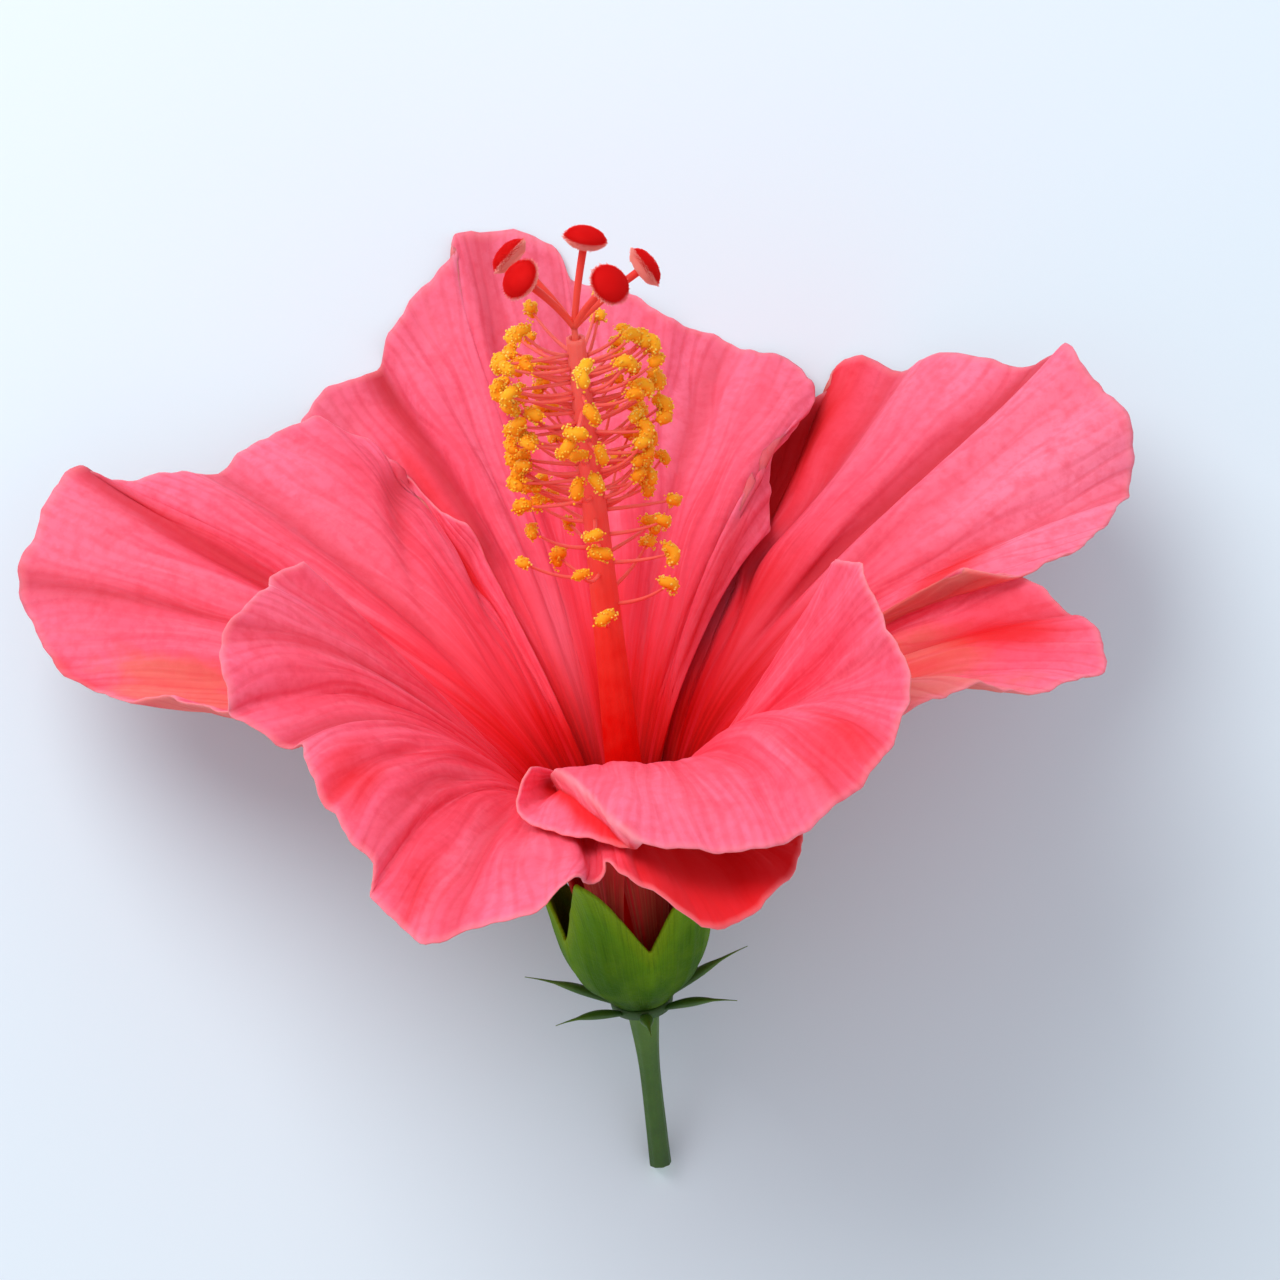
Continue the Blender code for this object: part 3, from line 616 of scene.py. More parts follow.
def faint_pleat(draw):
    place = draw.random()
    return (place, place + draw.uniform(-FAINT_DRIFT, FAINT_DRIFT),
            *(draw.uniform(*limits) for limits in (FAINT_HEIGHT, FAINT_WIDTH, FAINT_START, FAINT_END)))


def patches(share, along, areas):
    """Soft ovals on the blade, each with its middle, half widths across and along, and strength."""
    field = np.zeros_like(share)
    for middle_share, middle_along, half_share, half_along, strength in areas:
        away = ((share - middle_share) / half_share) ** 2 + ((along - middle_along) / half_along) ** 2
        field = np.maximum(field, strength * np.exp(-PATCH_FALL * away))
    return field


def waves(distance, parts):
    """A wavy line, the sum of parts given as (height, length of one wave, phase)."""
    return sum(height * np.sin(2 * math.pi * distance / length + phase) for height, length, phase in parts)


def rim_fade(along, start):
    """Rises from 0 at a place on the blade to 1 at its rim."""
    return smooth_step((along - start) / (1 - start))


def vein_distance(share, along, floor=np.floor, sine=np.sin):
    """How far off the nearest vein is, as a share of the petal's width, for arrays or node values."""
    nearest = None
    for level, fork in enumerate(FORKS):
        count = float(VEINS * 2 ** level)
        cell = floor(share * count)
        start = sine(cell * FORK_SCATTER[0] + level * FORK_SCATTER[1]) * FORK_JITTER + fork
        spread = smooth_step((along - start) / FORK_LENGTH) * FORK_SPREAD
        away = abs(abs(share * count - cell - 0.5) - spread) / count
        if level:
            begun = along > FORKS[level - 1] + FORK_LENGTH
            away = nearest + (away - nearest) * begun
        nearest = away
    return nearest


def vein_warp(share, along, phase):
    """Lets the veins wander a little off the straight rays."""
    wander = sum(amount * np.sin(lengthwise * along + crosswise * share + turns * phase)
                 for amount, lengthwise, crosswise, turns in VEIN_WANDER)
    return share + wander * smooth_step(along * 2)


def room_to(grid, other):
    """How high a pleat may rise from each point of a grid towards another petal."""
    tree = surface_tree(other)
    room = np.full(grid.shape[:2], FREE_ROOM)
    for spot in np.ndindex(*room.shape):
        distance = tree.find_nearest(grid[spot], FAR_AWAY)[3]
        if distance is not None:
            room[spot] = PLEAT_ROOM + PLEAT_ROOM_GROWTH * max(0, distance - PETAL_GAP)
    return room


def kept_within(height, above, below):
    """Heights of pleats, softly held under the room above the petal and that below it."""
    above, below = (np.maximum(finer(room), PLEAT_ROOM) for room in (above, below))
    return np.where(height > 0, above * np.tanh(height / above), below * np.tanh(height / below))


def ear_and_lip(share, along, values):
    """How the ear sinks and the lip beside it rises; the painted shade on the ear and the painted highlight
    along the lip's edge go into the values.
    """
    aside = (share - EAR_LINE[0] - (EAR_LINE[1] - EAR_LINE[0]) * along) / EAR_WIDTH
    begun = smooth_step((along - EAR_FROM) / EAR_FADE)
    # The lip's edge gets a painted highlight, the ear beside it painted shade.
    strength, place, width = LIP_HIGHLIGHT
    pale = strength * bell((aside - place) / width) * begun
    shaded = bell(aside * EAR_WIDTH / EAR_SHADE) * smooth_step(EAR_SHADE_END - aside) * begun
    values["edge"] = np.maximum(values["edge"], pale)
    values["red"] = np.maximum(values["red"], shaded)
    fall = bell(np.maximum(aside, 0) * EAR_WIDTH / LIP_FALL)
    return (LIP_RISE * smooth_step(0.5 + aside) * fall - EAR_DEPTH * smooth_step(0.5 - aside)) * begun


def fine_petal(name, grid, above, below, number):
    """The petal's middle surface, pleated and ruffled, with what its material needs to know."""
    petal = PETALS[name]
    fine = finer(grid)
    share = resampled(petal["shares"], FINE_ACROSS)
    row = np.arange(fine.shape[1]) / FINE_ALONG
    along = (row - THROAT_ROWS) / BLADE_ROWS
    share, along = np.meshgrid(share, along, indexing="ij")
    distance = share * petal["length"]
    # Deep red patches of painted shade, pale ones that are partly a painted highlight, and the places where
    # the outer side turns up.
    values = {key: patches(share, along, petal[key]) for key in ("red", "pale", "turned_out")}
    height = sum(pleat(share, along, line) for line in petal["pleats"])
    # Painted shade in the valleys, the deeper the darker.
    values["valley_shade"] = np.clip(-height / VALLEY_SHADE_DEPTH, 0, 1)
    draw = random.Random(PETAL_SEED + number)
    for _ in range(FAINT_PLEATS):
        height += pleat(share, along, faint_pleat(draw))
    height += waves(distance + RUFFLE_SHIFT * number, RUFFLE) * rim_fade(along, RUFFLE_FROM)
    first, second = (np.sin(distance * across + along * lengthwise) for across, lengthwise in CRINKLE_WAVES)
    height += CRINKLE * first * second * smooth_step(along * 3)
    warped = vein_warp(share, along, number)
    width = np.linalg.norm(np.gradient(fine, axis=0), axis=2) / np.maximum(np.gradient(share, axis=0), 1e-6)
    vein = vein_distance(warped, along) * width
    height -= VEIN_RELIEF * bell(vein / VEIN_GROOVE) * smooth_step(along * 4)
    # A painted highlight along the rim, for light through the thin margin.
    values["edge"] = RIM_HIGHLIGHT * rim_fade(along, 1 - RIM_HIGHLIGHT_SHARE)
    if name == "petal_front_right":
        height += ear_and_lip(share, along, values)
    outward = np.gradient(fine, axis=1)
    outward /= np.linalg.norm(outward, axis=2, keepdims=True)
    scallops = waves(distance + SCALLOPS_SHIFT * number, SCALLOPS) * rim_fade(along, SCALLOPS_FROM)
    fine += outward * scallops[..., None]
    fine += surface_normals(fine) * kept_within(height, above, below)[..., None]
    return fine, {**values, "share": warped, "along": along, "width": width}


def shell(middle, thickness):
    """Points and triangles of a closed shell round a petal's middle surface: inner side first."""
    across, along = middle.shape[:2]
    half = surface_normals(middle) * thickness[..., None] / 2
    count = across * along
    points = np.concatenate([(middle + half).reshape(-1, 3), (middle - half).reshape(-1, 3)])
    outer = grid_faces(across, along)
    index = np.arange(count).reshape(across, along)
    here = np.concatenate([index[:, 0], index[-1, 1:], index[-2::-1, -1], index[0, -2:0:-1]])
    there = np.roll(here, -1)
    edge = np.concatenate([np.stack((there + count, here + count, here), 1),
                           np.stack((there + count, here, there), 1)])
    return points, np.concatenate([outer[:, ::-1], outer + count, edge]).tolist()


def on_both_sides(values):
    """Values on a middle surface as the points of its shell have them."""
    return {key: np.tile(numbers.ravel(), 2) for key, numbers in values.items()}


def flower_piece(name, slot, node, material, points, faces, **values):
    """A smooth piece that stands for a node, with values for its material at each of its points."""
    mesh = bpy.data.meshes.new(name)
    mesh.from_pydata(to_world(points).tolist(), [], faces)
    for key, numbers in values.items():
        layer = mesh.attributes.new(key, "FLOAT", "POINT")
        layer.data.foreach_set("value", np.asarray(numbers, np.float32))
    mesh.materials.append(material)
    mesh.shade_smooth()
    piece = bpy.data.objects.new(name, mesh)
    bpy.context.scene.collection.objects.link(piece)
    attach(piece, "root")
    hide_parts(node)


def make_petals(material):
    grids = cad_petals()
    above = {name: np.full(grid.shape[:2], FREE_ROOM) for name, grid in grids.items()}
    below = dict(above)
    for upper, lower in PETAL_PAIRS:
        above[lower] = np.minimum(above[lower], room_to(grids[lower], grids[upper]))
        below[upper] = np.minimum(below[upper], room_to(grids[upper], grids[lower]))
    for number, (name, grid) in enumerate(grids.items()):
        middle, values = fine_petal(name, grid, above[name], below[name], number)
        thinning = np.clip(values["along"] * THINNING[0] + THINNING[1], 0, 1)
        thickness = CLAW_THICKNESS + (RIM_THICKNESS - CLAW_THICKNESS) * thinning
        for edge in (thickness[:, -1], thickness[0], thickness[-1]):
            edge *= EDGE_THINNESS
        flatten_on_floor(middle, RIM_THICKNESS)
        under = np.repeat((0.0, 1.0), thickness.size)
        flower_piece(name + "_blade", "petal", name, material, *shell(middle, thickness), under=under,
                     **on_both_sides(values))


# Rods, turned shapes and copies of small shapes.


def ring_faces(rings, sides):
    """Four-sided faces between rings of points."""
    here = np.arange((rings - 1) * sides)
    after = here - here % sides + (here + 1) % sides
    return np.stack((here, after, after + sides, here + sides), 1).tolist()


def tube(path, radii, sides, flatness=1.0, waist=(0.31, 0.95, 0.05)):
    """Points and faces of a closed rod along a path, ring by ring and then its two ends.

    Its first side way is square to the waist, and its second one is scaled by the flatness.
    """
    path = np.asarray(path, float)
    way = np.gradient(path, axis=0)
    way /= np.linalg.norm(way, axis=1, keepdims=True)
    side = np.cross(way[0], waist)
    turns = 2 * math.pi * np.arange(sides) / sides
    rings = []
    for place, forward, radius in zip(path, way, radii):
        side = side - forward * side.dot(forward)
        side /= np.linalg.norm(side)
        other = np.cross(forward, side) * flatness
        rings.append(place + radius * (np.cos(turns)[:, None] * side + np.sin(turns)[:, None] * other))
    points = np.concatenate(rings + [path[:1], path[-1:]])
    here = np.arange(sides)
    after = (here + 1) % sides
    last = (len(path) - 1) * sides
    start = np.full(sides, last + sides)
    faces = ring_faces(len(path), sides) + np.stack((start, after, here), 1).tolist()
    faces += np.stack((start + 1, last + here, last + after), 1).tolist()
    return points, faces


def rod_tones(values, sides):
    """The tone of each point of a tube whose rings have these values."""
    return np.append(np.repeat(values, sides), (0, 1))


def turned(profile, sides):
    """Points and faces of a profile of (radius, height), up its outer side, turned about the axis."""
    turns = 2 * math.pi * np.arange(sides) / sides
    points = [(radius * math.cos(turn), radius * math.sin(turn), height)
              for radius, height in profile for turn in turns]
    return np.array(points), ring_faces(len(profile), sides)


def bent(root, bend, tip, steps):
    """Points of a line that leaves its root towards the bend and ends at the tip."""
    root, bend, tip = (np.array(place) for place in (root, bend, tip))
    t = np.linspace(0, 1, steps)[:, None]
    return root * (1 - t) ** 2 + 2 * bend * t * (1 - t) + tip * t * t


def gathered(pieces):
    """Many (points, faces, tones) put into one."""
    points, faces, tones = [], [], []
    offset = 0
    for piece_points, piece_faces, piece_tones in pieces:
        points.append(piece_points)
        faces += [tuple(number + offset for number in face) for face in piece_faces]
        tones.append(np.broadcast_to(piece_tones, len(piece_points)))
        offset += len(piece_points)
    return np.concatenate(points), faces, np.concatenate(tones)


def facing(direction, draw):
    """A turn that takes +Z to a direction, with a random spin about it."""
    forward = direction / np.linalg.norm(direction)
    spin = draw.uniform(0, 2 * math.pi)
    aslant = (0.3, 0.5, 0.81)
    side = np.cross(forward, aslant)
    side /= np.linalg.norm(side)
    first = math.cos(spin) * side + math.sin(spin) * np.cross(forward, side)
    return np.stack((first, np.cross(forward, first), forward), 1)


def icosahedron():
    golden = (1 + math.sqrt(5)) / 2
    longest_edge = 1.1
    points = []
    for first, second in itertools.product((-1, 1), (-golden, golden)):
        points += [(first, second, 0), (0, first, second), (second, 0, first)]
    points = np.array(points) / math.sqrt(1 + golden ** 2)
    faces = []
    for a, b, c in itertools.combinations(range(len(points)), 3):
        corners = points[[a, b, c]]
        if np.linalg.norm(corners - np.roll(corners, 1, 0), axis=1).max() < longest_edge:
            normal = np.cross(corners[1] - corners[0], corners[2] - corners[0])
            faces.append((a, b, c) if normal.dot(corners.sum(0)) > 0 else (a, c, b))
    return points, faces


# The middle of the flower. Each shape is given as points, faces and tones.


def stamen_places():
    """Azimuth, height, reach and rise of every stamen: those of the CAD, then the extra ones."""
    places = []
    for bands, in_band, seed, lowest, crowding, turn, spread, reach in (STAMENS, EXTRA_STAMENS):
        draw = random.Random(seed)
        count = bands * in_band
        for i in range(count):
            share = (i + 0.5) / count
            height = lowest + (STAMEN_HIGHEST - lowest) * share ** crowding
            azimuth = math.radians(i % bands * 360 / bands + turn + draw.uniform(-spread, spread))
            places.append((azimuth, height, draw.uniform(*reach), draw.uniform(*STAMEN_RISE)))
    return places


def filament_path(azimuth, height, reach, rise):
    """A filament that leaves the column outward and bends up to its anther."""
    bend = polar(azimuth, reach * FILAMENT_BEND[0], height + rise * FILAMENT_BEND[1])
    return bent(polar(azimuth, FILAMENT_ROOT, height), bend, polar(azimuth, reach, height + rise),
                FILAMENT_STEPS)


def column_and_filaments():
    cad_radii, cad_heights = zip(*COLUMN_OUTER)
    heights = np.linspace(cad_heights[0], COLUMN_TOP, COLUMN_ROWS)
    radii = np.interp(heights, cad_heights, cad_radii)
    radii += COLUMN_FLARE * bell((heights - COLUMN_FLARE_HEIGHT) / COLUMN_FLARE_LENGTH)
    bore = [(BORE_RADIUS, COLUMN_TOP), (BORE_RADIUS, COLUMN_TOP - BORE_DEPTH)]
    points, faces = turned([*zip(radii, heights), *bore], COLUMN_SIDES)
    azimuth = np.arctan2(points[:, 1], points[:, 0])
    flute = 1 - FLUTE_DEPTH * (0.5 + 0.5 * np.cos(COLUMN_FLUTES * azimuth))
    points[:, :2] *= flute[:, None]
    pieces = [(points, faces, points[:, 2] / COLUMN_TOP)]
    radii = np.linspace(*FILAMENT_RADII, FILAMENT_STEPS)
    for place in stamen_places():
        rod = tube(filament_path(*place), radii, FILAMENT_SIDES)
        pieces.append((*rod, place[1] / COLUMN_TOP + FILAMENT_TONE))
    return gathered(pieces)


def anther(seed):
    """A bent little bag, open to its filament, set with pollen grains. Its filament comes from -Z."""
    draw = random.Random(seed)
    turns = np.linspace(-ANTHER_ARC, ANTHER_ARC, ANTHER_STEPS)
    path = np.stack((ANTHER_RADIUS * np.sin(turns), ANTHER_TWIST * np.sin(turns * 2 + seed),
                     ANTHER_RADIUS * (np.cos(turns) - ANTHER_DROP)), 1)
    ends = np.abs(np.linspace(-1, 1, ANTHER_STEPS))
    radii = ANTHER_TUBE * np.sqrt(np.clip(ANTHER_BLUNTNESS - ends ** 4, 0.1, 1))
    pieces = [(*tube(path, radii, ANTHER_SIDES, waist=(0, 1, 0)), ANTHER_TONE)]
    grain, faces = icosahedron()
    for _ in range(POLLEN_GRAINS):
        turn = draw.uniform(-ANTHER_ARC, ANTHER_ARC)
        around = draw.uniform(0, 2 * math.pi)
        outward = np.array((math.sin(turn) * math.cos(around), math.sin(around),
                            math.cos(turn) * math.cos(around)))
        middle = np.array((math.sin(turn), 0, math.cos(turn) - ANTHER_DROP)) * ANTHER_RADIUS
        place = middle + outward * (ANTHER_TUBE + POLLEN_RADIUS * POLLEN_RISE)
        size = POLLEN_RADIUS * draw.uniform(*POLLEN_SIZES)
        pieces.append((grain * size + place, faces, draw.uniform(*POLLEN_TONES)))
    return gathered(pieces)


def anthers():
    shapes = [anther(seed) for seed in range(ANTHER_SHAPES)]
    draw = random.Random(ANTHER_SEED)
    pieces = []
    for place, (points, faces, tones) in zip(stamen_places(), itertools.cycle(shapes)):
        path = filament_path(*place)
        turn = facing(path[-1] - path[-2], draw)
        size = draw.uniform(*ANTHER_SIZES)
        pieces.append((points * size @ turn.T + path[-1], faces, tones + draw.uniform(*ANTHER_SHADES)))
    return gathered(pieces)


def stigma(path, draw):
    """A flattened ball covered with down, facing the way its branch runs."""
    turn = facing(path[-1] - path[-2], draw)
    latitudes = np.linspace(-math.pi / 2, math.pi / 2, STIGMA_RINGS)
    wide, high = STIGMA_FACE
    profile = np.stack((wide * np.cos(latitudes), high * np.sin(latitudes)), 1)
    points, faces = turned(profile, STIGMA_SIDES)
    pieces = [(points, faces, np.repeat(np.clip(np.sin(latitudes) * 4 + 2, 0, 1), STIGMA_SIDES))]
    growth, rim_place, rim_width = LONG_PAPILLAE
    for number in range(PAPILLAE):
        sine = 1 - PAPILLAE_SPAN * (number + 0.5) / PAPILLAE
        cosine = math.sqrt(1 - sine * sine)
        around = number * math.pi * (3 - math.sqrt(5))
        spot = np.array((cosine * math.cos(around), cosine * math.sin(around), sine))
        outward = spot / (wide, wide, high)
        outward /= np.linalg.norm(outward)
        outward += np.array([draw.uniform(-PAPILLA_SWAY, PAPILLA_SWAY) for _ in range(3)])
        root = spot * (wide, wide, high)
        longer = 1 + growth * bell((sine - rim_place) / rim_width)
        length = PAPILLA_LENGTH * draw.uniform(*PAPILLA_LENGTHS) * longer
        hair = [root - outward * PAPILLA_ROOT, root + outward * length * 0.6, root + outward * length]
        pieces.append((*tube(hair, PAPILLA_RADII, PAPILLA_SIDES), min(max(sine * 5 + 0.5, 0), 1)))
    points, faces, tones = gathered(pieces)
    return points @ turn.T + path[-1], faces, tones


def branches_and_stigmas():
    draw = random.Random(STIGMA_SEED)
    style = [(0, 0, height) for height in STYLE_HEIGHTS]
    branches = [(*tube(style, [STYLE_RADIUS] * len(style), STYLE_SIDES), 0.0)]
    stigmas = []
    fork = UP * (STYLE_HEIGHTS[-1] - BRANCH_SINK)
    for place in STIGMAS:
        tip = Vector(place)
        path = bent(fork, fork + (tip - fork) * BRANCH_BEND, tip, BRANCH_STEPS)
        tones = rod_tones(np.linspace(0, 1, BRANCH_STEPS), BRANCH_SIDES)
        branches.append((*tube(path, np.linspace(*BRANCH_RADII, BRANCH_STEPS), BRANCH_SIDES), tones))
        stigmas.append(stigma(path, draw))
    return gathered(branches), gathered(stigmas)


def make_middle():
    """The four pieces of the column and the pistil, with the roughness, grain and so on of each."""
    branches, stigmas = branches_and_stigmas()
    for name, slot, node, (points, faces, tones), *finish in (
            ("column_and_filaments", "column", "staminal_column", column_and_filaments(), *COLUMN_FINISH),
            ("anthers", "column", "staminal_column", anthers(), *ANTHER_FINISH),
            ("style_branches", "pistil", "pistil", branches, *BRANCH_FINISH),
            ("stigmas", "pistil", "pistil", stigmas, *STIGMA_FINISH)):
        flower_piece(name, slot, node, toned_material(name, *finish), leaned(points), faces, tone=tones)


# The greens.


def calyx_lobe(azimuth):
    """How far off the middle of its lobe a place on the calyx lies, 0 to 1."""
    turn = (azimuth - math.radians(CALYX_LOBE_AZIMUTH)) * CALYX_LOBES / (2 * math.pi)
    return np.abs(turn - np.round(turn)) * 2


def make_calyx(material):
    azimuth = 2 * math.pi * np.arange(CALYX_SIDES + 1) / CALYX_SIDES
    aside = calyx_lobe(azimuth)
    edge = CALYX_SINUS + (CALYX_TIP - CALYX_SINUS) * (1 - aside) ** CALYX_LOBE_TAPER
    step = np.linspace(0, 1, CALYX_ROWS)
    height = CALYX_FLOOR + (edge[:, None] - CALYX_FLOOR) * step[None, :]
    radii = resampled(CALYX_RADII, CALYX_STEPS)
    radius = np.interp(height, np.linspace(CALYX_FLOOR, CALYX_TIP, len(radii)), radii)
    rib = CALYX_RIB * sum(strength * bell((aside - place) / width) for place, width, strength in CALYX_RIBS)
    radius += rib[:, None] * smooth_step(step * 3)[None, :]
    middle = np.stack((radius * np.cos(azimuth)[:, None], radius * np.sin(azimuth)[:, None], height), 2)
    floor = np.zeros((len(azimuth), 1, 3))
    floor[..., 2] = CALYX_FLOOR
    middle = np.concatenate([floor + (middle[:, :1] - floor) * CALYX_HOLE, middle], 1)
    tone, along = np.meshgrid(aside, np.append(0, step), indexing="ij")
    thickness = CALYX_THICKNESS * (1 - CALYX_THINNING * smooth_step((along - CALYX_THIN_FROM) * 4))
    flower_piece("calyx_cup", "calyx", "calyx", material, *shell(middle, thickness),
                 **on_both_sides({"along": along, "tone": tone}))


def make_epicalyx(material):
    pieces = [(*turned(BRACT_RING, BRACT_RING_SIDES), 0.0)]
    steps = np.linspace(0, 1, BRACT_STEPS)
    root_radius, widening, slimming = BRACT_RADII
    radii = root_radius + widening * np.sin(math.pi * np.minimum(steps * 1.5, 1))
    radii -= slimming * smooth_step((steps - 0.35) / 0.65)
    for i in range(BRACT_COUNT):
        azimuth = 2 * math.pi * (i + BRACT_TURN) / BRACT_COUNT
        root = polar(azimuth, *BRACT_ROOT)
        middle = root + polar(azimuth, BRACT_LENGTH, BRACT_LENGTH * BRACT_RISE) / 2
        tip = root + polar(azimuth, BRACT_LENGTH, BRACT_LENGTH * BRACT_RISE * BRACT_DROOP)
        path = bent(root, middle * 2 - (root + tip) / 2, tip, BRACT_STEPS)
        points, faces = tube(path, radii, BRACT_SIDES, BRACT_FLATNESS, UP)
        pieces.append((points, faces, rod_tones(steps, BRACT_SIDES)))
    points, faces, tones = gathered(pieces)
    flower_piece("epicalyx_bracts", "stalk", "epicalyx", material, points, faces, tone=tones)


def make_stalk(material):
    path = resampled(STALK_PATH, STALK_STEPS)
    rings = len(path)
    points, faces = tube(path, resampled(STALK_RADII, STALK_STEPS), STALK_SIDES)
    turns = np.tile(2 * math.pi * np.arange(STALK_SIDES) / STALK_SIDES, rings)
    axis = np.repeat(path, STALK_SIDES, 0)
    ridge = 1 + STALK_RIDGE * np.cos(STALK_RIDGES * turns) - STALK_GROOVE
    points[:-2] = axis + (points[:-2] - axis) * ridge[:, None]
    cut = np.zeros(len(points))
    cut[:STALK_SIDES] = 0.5
    cut[-2] = 1.0
    flower_piece("pedicel_stalk", "stalk", "pedicel", material, points, faces, cut=cut,
                 tone=rod_tones(np.linspace(0, 1, rings), STALK_SIDES))


# Materials.


def arithmetic(operation):
    """A way to work out a new value from node values with a Math node."""
    return lambda value, *others: value.graph.maths(operation, value, *others)


class Value:
    """What a shader node gives. Arithmetic on it adds the nodes that work it out."""

    __add__ = arithmetic("ADD")
    __sub__ = arithmetic("SUBTRACT")
    __mul__ = arithmetic("MULTIPLY")
    __truediv__ = arithmetic("DIVIDE")
    __gt__ = arithmetic("GREATER_THAN")
    __abs__ = arithmetic("ABSOLUTE")
    floor = arithmetic("FLOOR")
    sine = arithmetic("SINE")
    larger = arithmetic("MAXIMUM")
    scaled = arithmetic("MULTIPLY_ADD")

    def __init__(self, graph, socket):
        self.graph = graph
        self.socket = socket

    def step(self, low, high, to_low=0.0, to_high=1.0):
        """Goes smoothly from one number to the other while this value goes from low to high."""
        inputs = {"Value": self, "From Min": low, "From Max": high, "To Min": to_low, "To Max": to_high}
        return self.graph.node("ShaderNodeMapRange", inputs, "Result", interpolation_type="SMOOTHSTEP")


class Graph:
    """The shader nodes of a new material. Its methods add nodes and give their values."""

    MIXED_COLOURS = (6, 7)
    MIX_RESULT = 2

    def __init__(self, name):
        self.material = bpy.data.materials.new(name)
        self.material.use_nodes = True
        self.tree = self.material.node_tree

    def plug(self, socket, value):
        if isinstance(value, Value):
            self.tree.links.new(value.socket, socket)
        else:
            socket.default_value = value

    def node(self, kind, inputs, output=0, **settings):
        node = self.tree.nodes.new(kind)
        for key, setting in settings.items():
            setattr(node, key, setting)
        for key, value in inputs.items():
            self.plug(node.inputs[key], value)
        return Value(self, node.outputs[output])

    def maths(self, operation, *values):
        return self.node("ShaderNodeMath", dict(enumerate(values)), operation=operation)

    def attribute(self, name):
        return self.node("ShaderNodeAttribute", {}, "Fac", attribute_name=name)

    def noise(self, scale, detail=3.0, roughness=0.5, place=None):
        """Noise in the object's own space, or at another place."""
        inputs = {"Vector": place or self.node("ShaderNodeTexCoord", {}, "Object"), "Scale": scale,
                  "Detail": detail, "Roughness": roughness}
        return self.node("ShaderNodeTexNoise", inputs, "Fac")

    def streaks(self, across, along, detail=4.0):
        """Noise over two values, to be drawn out along the blade."""
        return self.noise(1.0, detail, place=self.node("ShaderNodeCombineXYZ", {0: across, 1: along}))

    def ramp(self, value, stops):
        node = self.tree.nodes.new("ShaderNodeValToRGB")
        elements = node.color_ramp.elements
        while len(elements) < len(stops):
            elements.new(0.5)
        for element, (position, colour) in zip(elements, stops):
            element.position = position
            element.color = srgb(*colour)
        self.plug(node.inputs[0], value)
        return Value(self, node.outputs["Color"])

    def mix(self, amount, under, over):
        """Lays one colour over another, as much as the amount says."""
        over = over if isinstance(over, Value) else srgb(*over)
        inputs = {"Factor": amount, **dict(zip(self.MIXED_COLOURS, (under, over)))}
        return self.node("ShaderNodeMix", inputs, self.MIX_RESULT, data_type="RGBA")

    def bump(self, height, distance):
        return self.node("ShaderNodeBump", {"Height": height, "Distance": distance}, "Normal")

    def finish(self, colour, **sockets):
        """Sets the shader's own sockets and gives the material."""
        shader = self.tree.nodes["Principled BSDF"]
        for name, value in {"Base_Color": colour, **sockets}.items():
            self.plug(shader.inputs[name.replace("_", " ")], value)
        return self.material


def petal_material():
    graph = Graph("petal")
    share, along, under, red = (graph.attribute(name) for name in ("share", "along", "under", "red"))
    streak = graph.streaks(share * 34.0, along * 1.6)
    fine_streak = graph.streaks(share * 130.0, along * 5.0)
    broad = graph.streaks(share * 15.0, along * 1.1, 2.0)
    blotch = graph.noise(75.0)
    mottle = graph.noise(900.0, 4.0, 0.6)
    cloud = graph.noise(320.0, 3.0, 0.6)
    ragged = cloud * 0.9 + mottle * 0.5
    turned_out = graph.attribute("turned_out") + (ragged - 0.7)
    outward = under.larger(turned_out.step(0.15, 0.95, 0.0, 0.9))
    open_blade = along.step(0.1, 0.55) * outward.scaled(-0.6, 1.0)
    depth = along + streak.scaled(0.3, -0.15) + blotch.scaled(0.2, -0.1)
    depth = depth.scaled(1 / (1 + TUBE_SHARE), TUBE_SHARE / (1 + TUBE_SHARE))
    inner, outer = (
        graph.ramp(depth, [((place + TUBE_SHARE) / (1 + TUBE_SHARE), colour) for place, colour in colours])
        for colours in (INNER_COLOURS, OUTER_COLOURS))
    colour = graph.mix(outward, inner, outer)
    vein = vein_distance(share, along, Value.floor, Value.sine) * graph.attribute("width")
    dark = vein.step(0.08, 0.42, 1.0, 0.0) * along.step(0.05, 0.3, 0.25, 1.0)
    dark = dark * blotch.step(0.35, 0.65, 0.45, 1.0)
    # Painted shade: deep red where folds and overlapping petals shade the blade, streaked, and hardly on its
    # outer side.
    red = streak.scaled(0.7, red - 0.35)
    # Of these, the valley tint is painted shade in the folds, the edge tint a painted highlight along the
    # margins and the lip's edge, and the pale tint partly a painted highlight.
    amounts = {
        "flushed": broad.step(0.5, 0.66, 0.0, 0.6) * along.step(0.35, 1.0, 1.0, 0.4),
        "pale": graph.attribute("pale").larger(broad.step(0.3, 0.5, 0.45, 0.0) * open_blade),
        "vein": dark * 0.25,
        "light": fine_streak.step(0.45, 0.75, 0.0, 0.35) * open_blade,
        "speck": mottle.step(0.4, 0.7, 0.0, 0.26) * open_blade,
        "dusky": cloud.step(0.5, 0.75, 0.0, 0.35) * open_blade,
        "valley_shade": graph.attribute("valley_shade") * streak.step(0.25, 0.75, 0.6, 0.9),
        "red": red.step(0.15, 0.85, 0.0, 0.9) * under.scaled(-0.9, 1.0),
        "edge": graph.attribute("edge"),
    }
    for name, tint in PETAL_TINTS.items():
        colour = graph.mix(amounts[name], colour, tint)
    relief = dark.scaled(-0.25, fine_streak * 0.4) + mottle * 0.35
    return graph.finish(colour, Normal=graph.bump(relief, 0.00012), Roughness=0.6, Subsurface_Weight=0.3,
                        Subsurface_Scale=0.001, Subsurface_Radius=(1.6, 0.5, 0.4), Specular_IOR_Level=0.1)


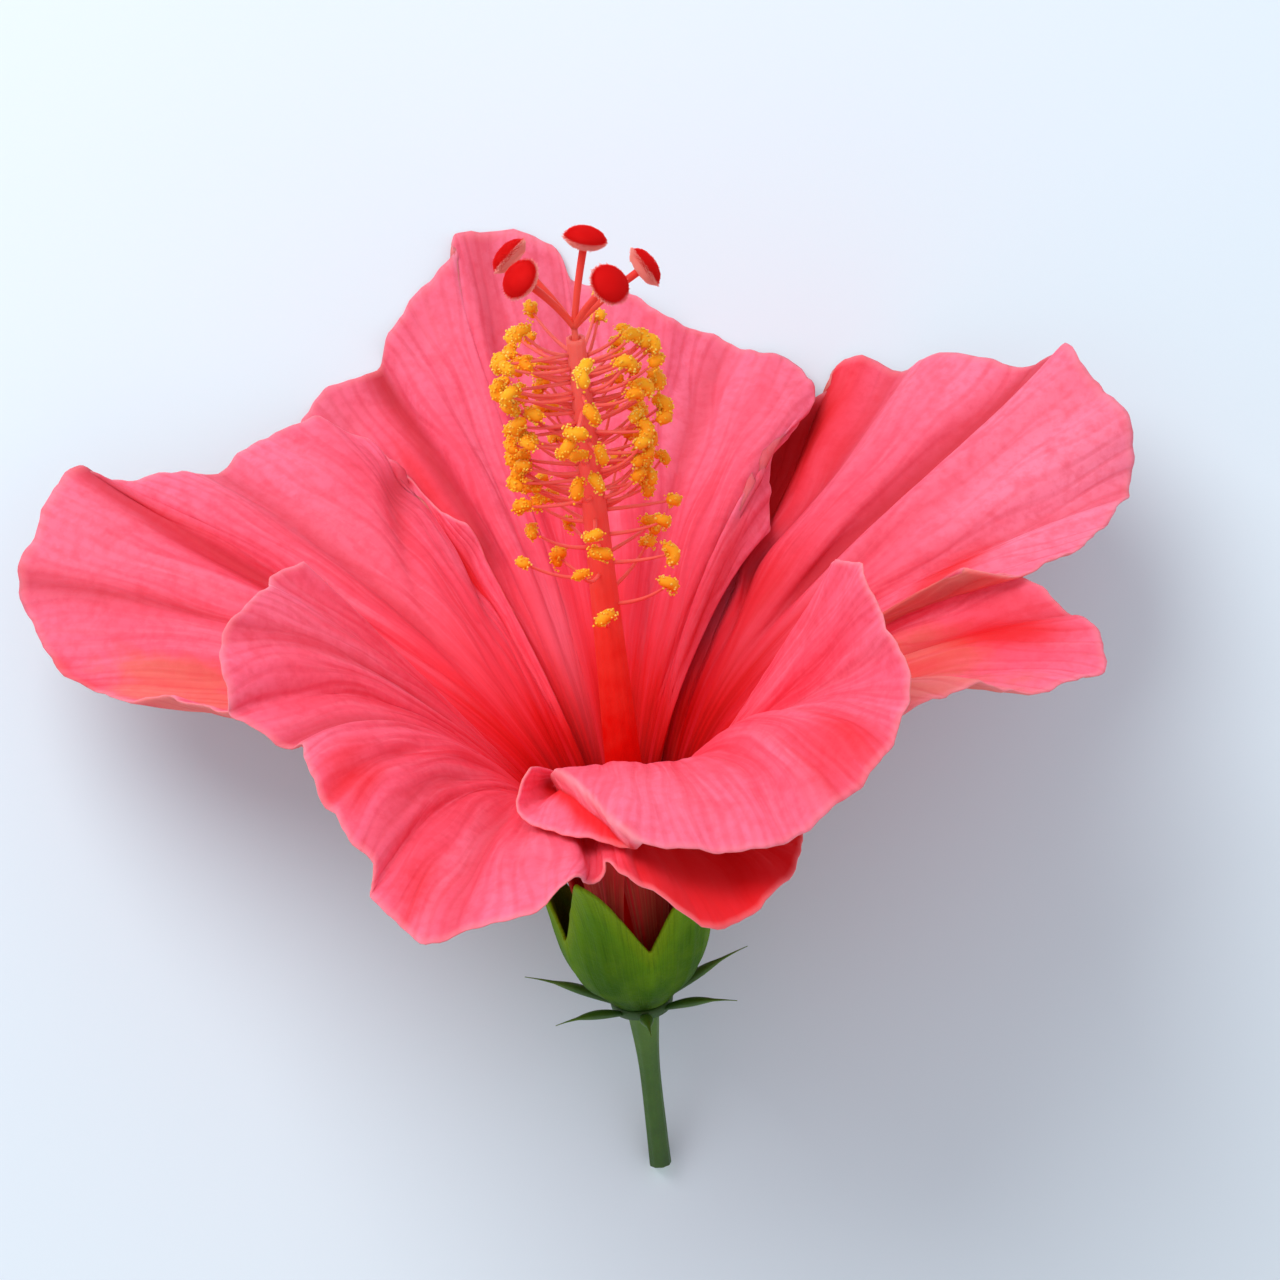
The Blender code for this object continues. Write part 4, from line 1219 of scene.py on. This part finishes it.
def toned_material(name, colours, roughness, grain, grain_depth, unevenness):
    """A material whose colour follows the tone of each point, with a fine grain."""
    graph = Graph(name)
    tone = graph.attribute("tone") + graph.noise(grain / 4).scaled(2 * unevenness, -unevenness)
    normal = graph.bump(graph.noise(grain, 4.0, 0.6), grain_depth)
    return graph.finish(graph.ramp(tone, colours), Normal=normal, Roughness=roughness, Subsurface_Weight=0.2,
                        Subsurface_Scale=0.0006, Specular_IOR_Level=0.2)


def calyx_material():
    graph = Graph("calyx")
    along = graph.attribute("along")
    lines = graph.streaks(graph.attribute("tone") * 30.0, along * 3.0)
    colour = graph.mix(lines.step(0.4, 0.7, 0.0, 0.4), graph.ramp(along, CALYX_COLOURS), CALYX_LINES)
    colour = graph.mix(graph.noise(260.0).step(0.4, 0.7, 0.0, 0.3), colour, CALYX_CLOUDS)
    normal = graph.bump(lines + graph.noise(2500.0), 0.00012)
    return graph.finish(colour, Normal=normal, Roughness=0.6, Specular_IOR_Level=0.1)


def stalk_material():
    graph = Graph("stalk")
    tone = graph.attribute("tone") + graph.noise(500.0, 4.0).scaled(0.6, -0.3)
    colour = graph.mix(graph.attribute("cut").step(0.45, 0.62), graph.ramp(tone, STALK_COLOURS), STALK_CUT)
    normal = graph.bump(graph.noise(3000.0, 4.0, 0.6), 0.00008)
    return graph.finish(colour, Normal=normal, Roughness=0.5, Subsurface_Weight=0.1, Subsurface_Scale=0.0005)


# Stage, light and camera.


def make_floor():
    mesh = bpy.data.meshes.new("floor")
    half = FLOOR_SIZE / 2
    corners = [(-half, -half, 0), (half, -half, 0), (half, half, 0), (-half, half, 0)]
    mesh.from_pydata(corners, [], [(0, 1, 2, 3)])
    graph = Graph("floor")
    mesh.materials.append(graph.finish(graph.ramp(graph.noise(6.0, 2.0), FLOOR_COLOURS), Roughness=0.9))
    floor = bpy.data.objects.new("floor", mesh)
    floor.location.z = -FLOOR_DROP
    bpy.context.scene.collection.objects.link(floor)


def make_light():
    scene = bpy.context.scene
    world = bpy.data.worlds.new("daylight")
    world.use_nodes = True
    background = world.node_tree.nodes["Background"]
    background.inputs["Color"].default_value = SKY_COLOUR
    background.inputs["Strength"].default_value = SKY_STRENGTH
    scene.world = world
    light = bpy.data.lights.new("key", "AREA")
    light.shape = "DISK"
    light.size = LAMP_SIZE
    light.energy = LAMP_POWER
    light.color = LAMP_COLOUR
    lamp = bpy.data.objects.new("key", light)
    scene.collection.objects.link(lamp)
    aim = FLOWER_FRAME @ (VIEW_THROAT * MM)
    place = FLOWER_FRAME @ ((VIEW_THROAT + LAMP_WAY.normalized() * LAMP_DISTANCE) * MM)
    turn = (place - aim).to_track_quat("Z", "Y").to_matrix().to_4x4()
    lamp.matrix_world = Matrix.Translation(place) @ turn
    scene.view_settings.view_transform = "Standard"


def make_camera():
    """The photographer's camera, aimed so that the flower stands where it does in the picture."""
    back = Vector((0, -math.cos(VIEW_HEIGHT), math.sin(VIEW_HEIGHT)))
    right = Vector((1, 0, 0))
    up = back.cross(right)
    across = right * math.cos(VIEW_ROLL) + up * math.sin(VIEW_ROLL)
    rise = up * math.cos(VIEW_ROLL) - right * math.sin(VIEW_ROLL)
    place = VIEW_THROAT + back * VIEW_DISTANCE
    aim = VIEW_THROAT + across * VIEW_ASIDE[0] + rise * VIEW_ASIDE[1]
    back = (place - aim).normalized()
    across = rise.cross(back).normalized()
    rise = back.cross(across)
    turn = Matrix((across, rise, back)).transposed().to_4x4()
    camera = bpy.data.cameras.new("camera")
    camera.sensor_width = FILM_WIDTH
    camera.lens = VIEW_LENS
    camera.clip_start = 0.01
    holder = bpy.data.objects.new("camera", camera)
    bpy.context.scene.collection.objects.link(holder)
    holder.matrix_world = FLOWER_FRAME @ (Matrix.Translation(place * MM) @ turn)
    bpy.context.scene.camera = holder


def main():
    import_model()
    make_camera()
    make_light()
    make_floor()
    make_petals(petal_material())
    make_middle()
    make_calyx(calyx_material())
    stalk = stalk_material()
    make_epicalyx(stalk)
    make_stalk(stalk)


main()
